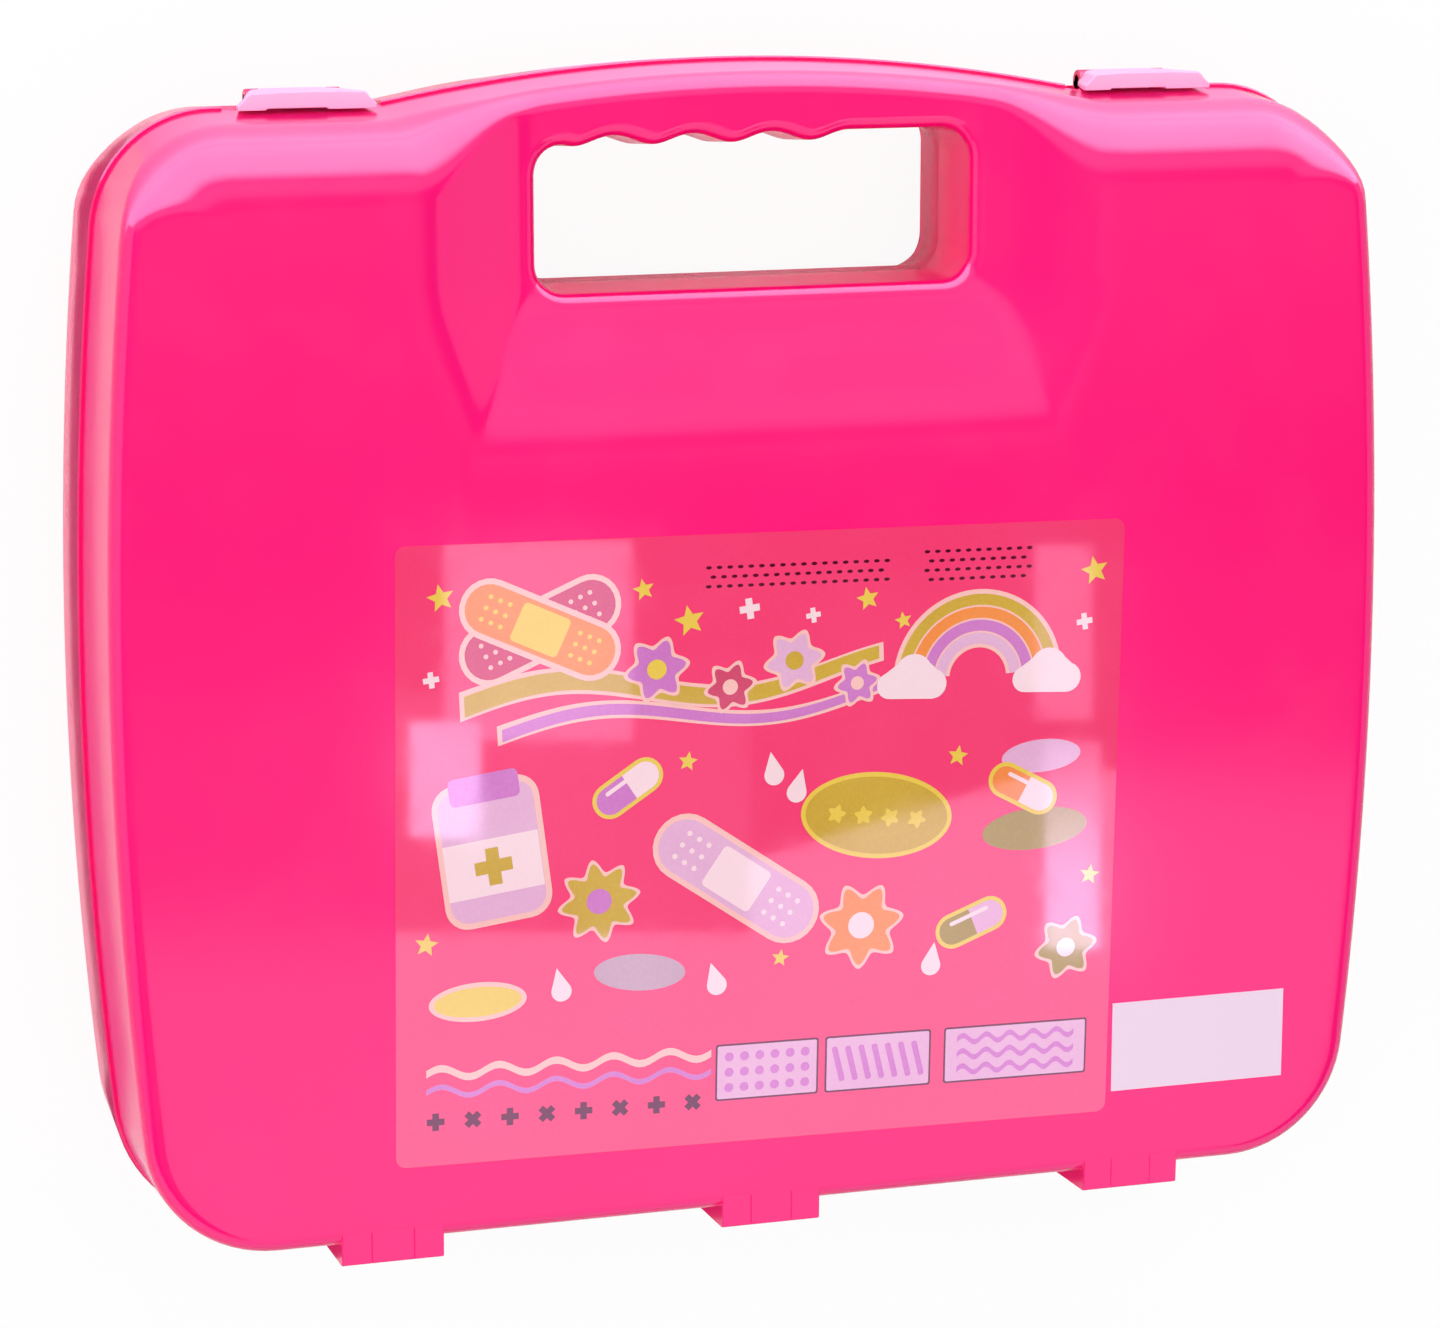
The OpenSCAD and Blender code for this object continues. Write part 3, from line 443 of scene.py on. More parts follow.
@dataclass
class Piece:
    """One visible piece of the object.

    Attributes:
        name: The piece's name.
        body: The body that it rides on.
        slot: The record's material slot; not used.
        finish: Its finish.
        replaces: The solids that it stands for.
        bevel: Width of its rounded edges in millimetres, or 0.
        sharp: Angle in degrees from which an edge stays sharp.
    """
    name: str
    body: str
    slot: str
    finish: Finish
    replaces: tuple[str, ...] = ()
    bevel: float = 0.0
    sharp: float = 32.0

    def build(self, points: Iterable[Sequence[float]], faces: Iterable[Sequence[int]]) -> bpy.types.Object:
        """Make the piece from points in millimetres.

        Args:
            points: The corners.
            faces: The faces, as corner numbers.

        Returns:
            The new object, riding on its body.
        """
        mesh = bpy.data.meshes.new(self.name)
        mesh.from_pydata([tuple(float(v) * MM for v in p) for p in points], [],
                         [tuple(int(i) for i in f) for f in faces])
        work = bmesh.new()
        work.from_mesh(mesh)
        bmesh.ops.recalc_face_normals(work, faces=work.faces)
        work.to_mesh(mesh)
        work.free()
        mesh.shade_smooth()
        mesh.set_sharp_from_angle(angle=math.radians(self.sharp))
        mesh.materials.append(self.finish.material())
        made = placed(self.name, mesh)
        if self.bevel:
            edge = made.modifiers.new("rounded_edges", "BEVEL")
            edge.width = self.bevel * MM
            edge.segments = 3
            edge.limit_method = "ANGLE"
            edge.angle_limit = math.radians(self.sharp)
            edge.harden_normals = True
        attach(made, self.body)
        if self.replaces:
            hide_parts(*self.replaces)
        LOG.info("%s: %d faces, rides on %s", self.name, len(mesh.polygons), self.body)
        return made


class Solid:
    """Points and faces of one or more closed solids, in millimetres.

    Attributes:
        points: The corners.
        faces: The faces, as corner numbers.
    """

    def __init__(self) -> None:
        """Start empty."""
        self.points: list[Sequence[float]] = []
        self.faces: list[Sequence[int]] = []

    def add(self, points: Iterable[Sequence[float]], faces: Iterable[Sequence[int]]) -> None:
        """Add corners and the faces between them.

        Args:
            points: The corners.
            faces: The faces, as numbers of these corners.
        """
        first = len(self.points)
        self.points.extend(points)
        self.faces.extend([[first + i for i in f] for f in faces])

    def prism(self, loop: Sequence[Sequence[float]], sweep: Sequence[float]) -> None:
        """Draw a closed loop of points out along a vector.

        Args:
            loop: The loop's corners in space.
            sweep: How far the loop moves.
        """
        n = len(loop)
        far = [[p[k] + sweep[k] for k in range(3)] for p in loop]
        sides = [[i, (i + 1) % n, n + (i + 1) % n, n + i] for i in range(n)]
        self.add([*loop, *far], [list(range(n)), list(range(n, 2 * n)), *sides])

    def rings(self, rings: Sequence[Points], closed: bool = True) -> None:
        """Join rings of points into a skin.

        Args:
            rings: Rings with the same number of points.
            closed: Whether the last ring joins the first, or each end is capped.
        """
        m, n = len(rings), len(rings[0])
        quads = [[j * n + i, j * n + (i + 1) % n, (j + 1) % m * n + (i + 1) % n, (j + 1) % m * n + i]
                 for j in range(m if closed else m - 1) for i in range(n)]
        caps = [] if closed else [list(range(n)), list(range((m - 1) * n, m * n))]
        self.add(np.concatenate(rings).tolist(), quads + caps)

    def turned(self, base: Sequence[float], axis: int, profile: Sequence[Sequence[float]],
               steps: int = 40) -> None:
        """Turn a profile round an axis.

        Args:
            base: Start of the axis.
            axis: 0, 1 or 2 for x, y or z.
            profile: Pairs of radius and distance along the axis.
            steps: Number of sides.
        """
        a = np.linspace(0, 2 * math.pi, steps, endpoint=False)
        rings = []
        for radius, along in profile:
            ring = np.tile(np.array(base, float), (steps, 1))
            ring[:, axis] += along
            ring[:, (axis + 1) % 3] += radius * np.cos(a)
            ring[:, (axis + 2) % 3] += radius * np.sin(a)
            rings.append(ring)
        self.rings(rings, closed=False)

    def sleeve(self, base: Sequence[float], bore: float, radius: float, length: float) -> None:
        """A plain sleeve along x, round a pin."""
        self.turned(base, 0, [(bore, 0), (radius, 0), (radius, length), (bore, length)])


# ---------------------------------------------------------------- form of the case

class Half(Enum):
    """The two halves of the case, each with the way its heights run from the seam."""
    BASE = -1
    LID = 1


@dataclass(frozen=True)
class CaseForm:
    """Driving sizes of the case and the curves that follow from them.

    Attributes:
        width: Width at the widest.
        height: Length from the hinge wall to the shoulders.
        depths: Depth of each half from the seam to its face.
        wall: Wall of both halves.
        side_bow: How far each side wall bows outwards.
        shoulder_r: Corner radius at the shoulders.
        foot_r: Corner radius at the hinge side.
        draft: How far each half narrows towards its face.
        rim_step: How far the base rim stands out past the lid rim.
        shoulder_round: Rounding of the shoulder edge.
        edge_round: Rounding of the other edges.
        grip_w: Width of the hand opening at the seam.
        grip_h: Height of the hand opening at the seam.
        grip_drop: Distance from the shoulders down to the lower edge of the hand opening.
        arch_rise: Rise of the arched bar above the shoulders.
        arch_half: Half of the width that the arch spans.
        finger_pitch: Distance between the finger rests.
        finger_depth: Depth of the finger rests.
        finger_start: Place of the first finger rest.
        scoop_depth: How far the face dips around the grip.
        scoop_run: Length of the slope below the grip.
        scoop_half: Half of the width of the dip.
        grip_edge: Rounding of the hand opening's edge.
        grip_corner: Corner radius of the hand opening.
        latch_x: Distance from the middle to each latch.
        latch_w: Width of a latch.
        pocket_depth: Depth of the pocket behind a latch.
        pivot_back: Distance from the seam to a latch's pivot.
        barrel_r: Outer radius of a latch's barrel.
        knuckle_r: Outer radius of the hinge knuckles.
        bar_steps: Steps of half the outline over the hand opening.
        neck_steps: Points from there to a latch's pocket.
        pocket_steps: Points along a pocket.
        side_steps: Steps along a side wall.
        foot_steps: Steps along half of the hinge wall.
        corner_steps: Steps round a corner.
    """
    width: float = 280.0
    height: float = 236.0
    depths: dict = field(default_factory=lambda: {Half.BASE: 32.0, Half.LID: 30.0})
    wall: float = 2.0
    side_bow: float = 7.3
    shoulder_r: float = 25.0
    foot_r: float = 28.5
    draft: float = 1.2
    rim_step: float = 0.8
    shoulder_round: float = 16.0
    edge_round: float = 4.0
    grip_w: float = 92.0
    grip_h: float = 29.5
    grip_drop: float = 36.5
    arch_rise: float = 8.0
    arch_half: float = 77.0
    finger_pitch: float = 17.0
    finger_depth: float = 2.0
    finger_start: float = -38.5
    scoop_depth: float = 12.0
    scoop_run: float = 28.0
    scoop_half: float = 74.0
    grip_edge: float = 3.0
    grip_corner: float = 5.0
    latch_x: float = 91.7
    latch_w: float = 29.0
    pocket_depth: float = 2.2
    pivot_back: float = 10.0
    barrel_r: float = 2.3
    knuckle_r: float = 3.2
    bar_steps: int = 42
    neck_steps: int = 20
    pocket_steps: int = 22
    side_steps: int = 30
    foot_steps: int = 36
    corner_steps: int = 16

    @property
    def top(self) -> float:
        """Place of the shoulders' straight edge."""
        return self.height / 2

    @property
    def seam(self) -> float:
        """Height of the seam above the back face."""
        return self.depths[Half.BASE]

    @property
    def grip_y(self) -> float:
        """Place of the lower edge of the hand opening."""
        return self.top - self.grip_drop

    @property
    def axis_y(self) -> float:
        """Place of the hinge pins."""
        return -self.top - self.rim_step - 0.3 - self.knuckle_r

    @property
    def mid_y(self) -> float:
        """Place of the frame's origin."""
        return (self.top + self.arch_rise + self.rim_step + self.axis_y - self.knuckle_r) / 2

    @property
    def pocket_floor(self) -> float:
        """Place of the wall behind a latch's barrel."""
        return self.top + self.rim_step - self.pocket_depth

    @property
    def pivot_y(self) -> float:
        """Place of a latch's pin."""
        return self.pocket_floor + 0.3 + self.barrel_r

    @property
    def bar_end(self) -> float:
        """Half of the part of the outline that lies above the hand opening."""
        return self.grip_w / 2 + 4

    @property
    def pocket(self) -> tuple[float, float]:
        """Inner and outer edge of a latch's pocket."""
        half = self.latch_w / 2 + 1.7
        return self.latch_x - half, self.latch_x + half

    def side_x(self, y: Points) -> Points:
        """Half width of the bowed sides at y."""
        return self.width / 2 - y * y / (self.height / 2) ** 2 * self.side_bow

    def arch_y(self, x: Points) -> Points:
        """Upper edge of the outline at x, with the kinks at the arch's ends softened."""
        v = 1 - (x / self.arch_half) ** 2
        return self.top + self.arch_rise * (v + np.sqrt(v * v + 0.04 ** 2)) / 2

    def outline(self) -> tuple[Points, Points]:
        """The outline at the seam, clockwise from the middle of the handle, and its outward normals.

        Returns:
            The loop's points and its normals.
        """
        radius = (self.height / 2) ** 2 / (2 * self.side_bow)
        shoulder_y, foot_y = self.top - self.shoulder_r, self.foot_r - self.top
        up, down = math.degrees(math.atan(shoulder_y / radius)), math.degrees(math.atan(foot_y / radius))
        join_up = shoulder_y + self.shoulder_r * math.sin(math.radians(up))
        join_down = foot_y + self.foot_r * math.sin(math.radians(down))
        shoulder_x = self.side_x(join_up) - self.shoulder_r * math.cos(math.radians(up))
        foot_x = self.side_x(join_down) - self.foot_r * math.cos(math.radians(down))
        a, b = self.pocket
        xs = np.concatenate([np.linspace(0, self.bar_end, self.bar_steps + 1)[:-1],
                             np.linspace(self.bar_end, a - 0.4, self.neck_steps),
                             np.linspace(a + 0.4, b - 0.4, self.pocket_steps), [b + 0.4]])
        side = np.linspace(join_up, join_down, self.side_steps + 1)[1:]
        half = np.concatenate([
            np.column_stack([xs, self.arch_y(xs)]),
            arc((shoulder_x, shoulder_y), self.shoulder_r, 90, up, self.corner_steps),
            np.column_stack([self.side_x(side), side]),
            arc((foot_x, foot_y), self.foot_r, down, -90, self.corner_steps)[1:],
            self.straight_foot(foot_x, -self.top)])
        loop = np.concatenate([half, half[-2:0:-1] * [-1, 1]])
        return loop, self.normals(loop)

    def straight_foot(self, x: float, y: float) -> Points:
        """The points from x to the middle along a straight lower edge at y."""
        return np.column_stack([np.linspace(x, 0, self.foot_steps + 1)[1:], np.full(self.foot_steps, y)])

    def finger_dip(self, x: Points) -> Points:
        """Depth of the finger rests at x.

        Args:
            x: Places across the case.

        Returns:
            The depth at each place.
        """
        from_first = (x - self.finger_start) / self.finger_pitch
        inside = (from_first > -0.5) & (from_first < 3.5)
        wave = (1 + np.cos(2 * math.pi * from_first)) / 2
        return np.where(inside, self.finger_depth * wave, 0)

    def opening(self) -> tuple[Points, Points]:
        """The hand opening at the seam, point for point beside the outline, and its outward normals.

        Returns:
            The loop's points and its normals.
        """
        cx, r, low = self.grip_w / 2 - self.grip_corner, self.grip_corner, self.grip_y
        beside = self.neck_steps + self.pocket_steps + 1 + self.side_steps
        halves = []
        for s in (1, -1):
            xs = s * cx * np.arange(self.bar_steps) / self.bar_steps
            top = low + self.grip_h - self.finger_dip(xs)
            end = float(low + self.grip_h - self.finger_dip(np.array([s * cx]))[0])
            level = min(end - r - 1, self.top - self.draft - self.shoulder_round - 0.8)
            below = level + (low + r - level) * (np.arange(1, beside - 2) / (beside - 3)) ** 0.5
            side = np.concatenate([np.linspace(end - r, level, 4)[1:], below])
            halves.append(np.concatenate([
                np.column_stack([xs, top]),
                arc((cx, end - r), r, 90, 0, self.corner_steps) * [s, 1],
                np.column_stack([np.full(beside, s * (cx + r)), side]),
                arc((cx, low + r), r, 0, -90, self.corner_steps)[1:] * [s, 1],
                self.straight_foot(s * cx, low)]))
        loop = np.concatenate([halves[0], halves[1][-2:0:-1]])
        return loop, self.normals(loop)

    @staticmethod
    def normals(loop: Points) -> Points:
        """Unit normals out of a clockwise loop."""
        d = np.roll(loop, -1, axis=0) - np.roll(loop, 1, axis=0)
        return np.column_stack([-d[:, 1], d[:, 0]]) / np.linalg.norm(d, axis=1)[:, None]

    def dip_share(self, x: Points, y: Points) -> Points:
        """How much of the dip round the grip is reached at x, y, from 0 to 1.

        Args:
            x: Places across the case.
            y: Places up the case.

        Returns:
            The share at each place.
        """
        down = np.clip(soft_ramp((y - (self.grip_y - 1 - self.scoop_run)) / self.scoop_run, 0.14), 0, 1)
        side = smoothstep((self.scoop_half + 3 - 10 * (1 - down) - np.abs(x)) / 32)
        crease = 0.4 * np.sqrt(np.clip(down * (1 - down) * side * (1 - side), 0, 1))
        return (down + side - np.sqrt((down - side) ** 2 + crease ** 2)) / 2

    def face_h(self, half: Half, x: Points, y: Points) -> Points:
        """Height of a half's face above the seam at x, y."""
        return self.depths[half] - self.scoop_depth * self.dip_share(x, y)

    def rounding(self, loop: Points, normals: Points) -> Points:
        """Rounding of the face's edge at each point of the outline.

        Args:
            loop: The loop.
            normals: Its outward normals.

        Returns:
            A radius for each point.
        """
        on_bar = smoothstep((self.scoop_half + 2 - np.abs(loop[:, 0])) / 24) * (loop[:, 1] > self.grip_y)
        upwards = smoothstep((normals[:, 1] - 0.15) / 0.75)
        plain = self.edge_round + (self.shoulder_round - self.edge_round) * upwards
        return plain + (self.edge_round + 1 - plain) * on_bar


@dataclass
class CaseShell:
    """One hollow half of the case.

    Attributes:
        form: The case's form.
        half: Which half it is.
        flares: How much wider the hand opening is at the face of each half.
        face_rings: Number of rings over the face.
        crowding: How the face's rings crowd towards the hand opening, 1 for even steps.
        rim_soft: Rounding of the rim's outer edge.
        tongue_h: How far the locating tongue reaches past the seam.
        tongue_gap: Clearance between the tongue and the lid's wall.
        tongue_t: Thickness of the tongue.
    """
    form: CaseForm
    half: Half
    flares: dict = field(default_factory=lambda: {Half.BASE: 3.0, Half.LID: 1.2})
    face_rings: int = 68
    crowding: float = 1.7
    rim_soft: float = 0.35
    tongue_h: float = 2.0
    tongue_gap: float = 0.3
    tongue_t: float = 1.0

    def ring(self, loop: Points, normals: Points, out: Points | float, h: Points | float) -> Points:
        """A ring of points beside a loop.

        Args:
            loop: The loop.
            normals: Its outward normals.
            out: Distance outwards from the loop.
            h: Height above the seam.

        Returns:
            Points in space, in the frame of the model.
        """
        n = len(loop)
        place = loop + normals * np.broadcast_to(out, n)[:, None]
        z = self.form.seam + self.half.value * np.broadcast_to(h, n)
        return np.column_stack([place[:, 0], place[:, 1] - self.form.mid_y, z])

    def between(self, start: Points, end: Points, share: float) -> Points:
        """The loop at a share of the way from start to end, with the steps crowded towards the end."""
        return start + (end - start) * (1 - (1 - share) ** self.crowding)

    def rings(self) -> list[Points]:
        """All rings, from the rim over the face to the hand opening and back inside.

        Returns:
            Rings with as many points each as the outline.
        """
        form, wall, soft = self.form, self.form.wall, self.rim_soft
        o, on = form.outline()
        q, qn = form.opening()
        rd = form.rounding(o, on)
        flare = self.flares[self.half]
        plain = form.rim_step if self.half is Half.BASE else 0.0
        pocketed = np.full(len(o), plain)
        if self.half is Half.BASE:
            a, b = form.pocket
            behind = (o[:, 1] > form.top - 0.05) & (np.abs(o[:, 0]) > a) & (np.abs(o[:, 0]) < b)
            pocketed = np.where(behind, form.pocket_floor - o[:, 1], plain)
        side = plain - form.draft
        start = o + on * (side - rd)[:, None]
        end = q + qn * (flare + form.grip_edge)
        inner_end = q + qn * (flare + wall)
        fa, fb = form.face_h(self.half, *start.T), form.face_h(self.half, *end.T)
        tall = fa - rd
        result = [self.ring(o, on, pocketed - soft, 0), self.ring(o, on, pocketed, soft)]
        wall_steps = ((0.06, pocketed), (0.45, pocketed), (0.84, pocketed), (0.9, plain), (1.0, plain))
        for share, grow in wall_steps:
            result.append(self.ring(o, on, grow - form.draft * share, tall * share))
        for f in np.radians(np.linspace(0, 90, 13)[1:]):
            result.append(self.ring(o, on, side - rd * (1 - math.cos(f)), fa - rd * (1 - math.sin(f))))
        for k in range(1, self.face_rings + 1):
            p = self.between(start, end, k / self.face_rings)
            result.append(self.ring(p, on, 0, form.face_h(self.half, *p.T)))
        for f in np.radians(np.linspace(0, 90, 8)[1:]):
            result.append(self.ring(q, qn, flare + form.grip_edge * (1 - math.sin(f)),
                                    fb - form.grip_edge * (1 - math.cos(f))))
        for share in (0.95, 0.5, 0.05):
            result.append(self.ring(q, qn, flare * share, (fb - form.grip_edge) * share))
        result += [self.ring(q, qn, soft, 0), self.ring(q, qn, wall, 0)]
        inner_rings = self.face_rings // 3
        for k in range(inner_rings, 0, -1):
            p = self.between(start, inner_end, k / inner_rings)
            result.append(self.ring(p, on, 0, form.face_h(self.half, *p.T) - wall))
        for f in np.radians(np.linspace(90, 0, 7)[:-1]):
            result.append(self.ring(o, on, side - wall - (rd - wall) * (1 - math.cos(f)),
                                    fa - rd + (rd - wall) * math.sin(f)))
        result.append(self.ring(o, on, side - wall, tall))
        return result + self.rim(o, on, pocketed)

    def rim(self, o: Points, on: Points, pocketed: Points) -> list[Points]:
        """The last rings inside, with the locating tongue on the base half.

        Args:
            o: The outline.
            on: Its outward normals.
            pocketed: Distance of the outer wall from the outline.

        Returns:
            The rings.
        """
        wall = self.form.wall
        if self.half is Half.LID:
            return [self.ring(o, on, pocketed - wall, 0)]
        outer = -wall - self.tongue_gap
        inner = outer - self.tongue_t
        return [self.ring(o, on, pocketed - wall, 6), self.ring(o, on, inner, 4),
                self.ring(o, on, inner, 0.3 - self.tongue_h), self.ring(o, on, inner + 0.3, -self.tongue_h),
                self.ring(o, on, outer - 0.3, -self.tongue_h), self.ring(o, on, outer, 0.3 - self.tongue_h),
                self.ring(o, on, outer, 0)]

    def build(self) -> None:
        """Make the shell."""
        solid = Solid()
        solid.rings(self.rings())
        body = self.half.name.lower()
        finish = Finish.CASE if self.half is Half.BASE else Finish.LID
        Piece(f"{body}_shell_skin", body, "case_pink", finish, (f"{body}_shell",)).build(
            solid.points, solid.faces)


@dataclass
class Hinges:
    """The hinge blocks of the lid and the knuckles and feet of the base.

    Attributes:
        form: The case's form.
        pitch: Distance between neighbouring blocks.
        block_w: Width of a block.
        block_out: How far a block stands out past the lid wall.
        knuckle_w: Width of a base knuckle.
        pin_r: Radius of the pins.
        below_face: How far a block's front edge lies below the lid's face.
        block_over: How far a block reaches over the lid's edge.
        roof_rise: Rise of a block's top over that length.
    """
    form: CaseForm
    pitch: float = 83.1
    block_w: float = 21.9
    block_out: float = 3.0
    knuckle_w: float = 8.3
    pin_r: float = 1.2
    below_face: float = 0.25
    block_over: float = 4.6
    roof_rise: float = 0.22

    def along_x(self, solid: Solid, x: float, width: float, profile: Sequence[Sequence[float]]) -> None:
        """Draw a profile of y, z points out along x, centred on x."""
        mid = self.form.mid_y
        solid.prism([(x - width / 2, y - mid, z) for y, z in profile], (width, 0, 0))

    def knuckle(self, solid: Solid, x: float, width: float) -> None:
        """A knuckle round the pin.

        Args:
            solid: What it is added to.
            x: Its middle.
            width: Its width.
        """
        r, soft = self.form.knuckle_r, 0.4
        solid.turned((x - width / 2, self.form.axis_y - self.form.mid_y, self.form.seam), 0,
                     [(self.pin_r, 0), (r - soft, 0), (r, soft), (r, width - soft), (r - soft, width),
                      (self.pin_r, width)])

    def build(self) -> None:
        """Make the blocks, knuckles and feet."""
        form = self.form
        seam, r = form.seam, form.knuckle_r
        ear_w = (self.block_w - self.knuckle_w) / 2 - 0.3
        front = -form.top - self.block_out
        over = -form.top + form.draft + 0.7 + self.block_over
        high = form.depths[Half.LID] - self.below_face
        roof = [(front, high - 1), (front + 0.4, high), (over, high + self.roof_rise)]
        ear = [(form.axis_y - r, 0.2), (form.axis_y - r, 1.5), (front - 1.2, 8), *roof,
               (over, 4), (-form.top + 0.4, 4), (-form.top + 0.4, 0.2)]
        middle = [(front - 0.8, r + 0.4), (front - 0.8, 10), *roof, (over, r + 0.4)]
        rim = -form.top - form.rim_step
        root = rim + 0.4
        foot = [(front + 0.6, seam - 10), (front + 0.6, 2.4), (rim + form.draft + 2.7, 2.4),
                (rim + form.draft + 0.7, seam - 6), (root, seam - 6)]
        for side, x in zip(("left", "middle", "right"), (-self.pitch, 0.0, self.pitch)):
            block = Solid()
            for s in (-1, 1):
                ear_x = x + s * (self.block_w - ear_w) / 2
                self.along_x(block, ear_x, ear_w, [(y, seam + h) for y, h in ear])
                self.knuckle(block, ear_x, ear_w)
            self.along_x(block, x, self.block_w - 2 * ear_w + 0.4, [(y, seam + h) for y, h in middle])
            Piece(f"{side}_hinge_block", "lid", "case_pink", Finish.LID, ("lid_shell",), 0.45).build(
                block.points, block.faces)
            part = Solid()
            self.knuckle(part, x, self.knuckle_w)
            self.along_x(part, x, self.knuckle_w,
                         [(form.axis_y, seam - r), (root, seam - r), (root, seam), (form.axis_y, seam)])
            Piece(f"{side}_base_knuckle", "base", "case_pink", Finish.CASE, ("base_shell",)).build(
                part.points, part.faces)
            part = Solid()
            self.along_x(part, x, self.block_w, foot)
            Piece(f"{side}_base_foot", "base", "case_pink", Finish.CASE, ("base_shell",), 0.6).build(
                part.points, part.faces)


@dataclass
class Latches:
    """The two latches and the ears on the base that carry their pins.

    Attributes:
        form: The case's form.
        taper: Share of its width that a plate keeps at its pin.
        thickness: Thickness of a latch plate.
        reach: Reach of a latch past the seam onto the lid.
        neck_w: Width of the neck down to the pin.
        pin_r: Radius of the pins.
        ear_x: Distance from a latch's middle to each ear.
        ear_w: Width of an ear.
        slot: Ends of the groove in a plate's foot, and its depth.
    """
    form: CaseForm
    taper: float = 0.78
    thickness: float = 3.5
    reach: float = 6.4
    neck_w: float = 13.0
    pin_r: float = 1.2
    ear_x: float = 8.45
    ear_w: float = 3.2
    slot: tuple[float, float, float] = (-8.6, 4.2, 0.35)

    def plate(self) -> Points:
        """Outline of the plate seen from the front, from its middle and its foot.

        Returns:
            A closed loop.
        """
        half, t = self.form.latch_w / 2, self.thickness
        start, end, deep = self.slot
        return np.concatenate([
            [[half, 0.0], [half, 0.9]], arc((half - 3.0, t - 1.5), 1.5, 15, 90, 5),
            [[half * 0.4, t + 0.25], [0, t + 0.3], [-half * 0.4, t + 0.25]],
            arc((-half + 3.0, t - 1.5), 1.5, 90, 165, 5), [[-half, 0.9], [-half, 0.0]],
            [[start, 0.0], [start, deep], [end, deep], [end, 0.0]]])

    def build(self) -> None:
        """Make both latches and the ears."""
        form = self.form
        foot_y = form.top + 0.3 - form.mid_y
        pivot_y, pivot_z = form.pivot_y - form.mid_y, form.seam - form.pivot_back
        low, high = pivot_z + 4, form.seam + self.reach
        sections = ((self.taper, 0.94, low), (1.0, 1.0, high - 1.2), (0.985, 0.95, high))
        for side, s in (("left", -1), ("right", 1)):
            x = s * form.latch_x
            latch = Solid()
            latch.rings([np.array([(x + px * wide, foot_y + py * tall, z) for px, py in self.plate()])
                         for wide, tall, z in sections], closed=False)
            top_y = foot_y + self.thickness - 0.4
            neck = [(pivot_y - form.barrel_r + 0.4, pivot_z), (top_y, pivot_z), (top_y, low + 1),
                    (foot_y + 1, low + 1), (foot_y + 1, low)]
            latch.prism([(x - self.neck_w / 2, y, z) for y, z in neck], (self.neck_w, 0, 0))
            latch.sleeve((x - self.neck_w / 2, pivot_y, pivot_z), self.pin_r, form.barrel_r, self.neck_w)
            Piece(f"{side}_latch_moulding", f"{side}_latch", "latch_pink", Finish.LATCH,
                  (f"latch_{side}",), 0.5).build(latch.points, latch.faces)
            ears = Solid()
            r, wall_y = form.barrel_r, form.pocket_floor - form.mid_y - 0.8
            web = [(wall_y, pivot_z - r), (pivot_y, pivot_z - r),
                   (pivot_y, pivot_z + r), (wall_y, pivot_z + r)]
            for e in (-1, 1):
                ear_at = x + e * self.ear_x - self.ear_w / 2
                ears.prism([(ear_at, y, z) for y, z in web], (self.ear_w, 0, 0))
                ears.sleeve((ear_at, pivot_y, pivot_z), self.pin_r, r, self.ear_w)
            Piece(f"{side}_latch_ears", "base", "case_pink", Finish.CASE, ("base_shell",), 0.3).build(
                ears.points, ears.faces)


# ---------------------------------------------------------------- print on the label

class Ink(Enum):
    """The inks of the label: a finish for each."""
    CREAM = Finish.CREAM
    WHITE = Finish.WHITE_INK
    MUSTARD = Finish.MUSTARD_INK
    YELLOW = Finish.YELLOW_INK
    ORANGE = Finish.ORANGE_INK
    LILAC = Finish.LILAC_INK
    PALE = Finish.PALE_LILAC
    ROSE = Finish.ROSE_INK
    OLIVE = Finish.OLIVE_INK
    GREY = Finish.GREY_INK
    PLUM = Finish.DARK_INK


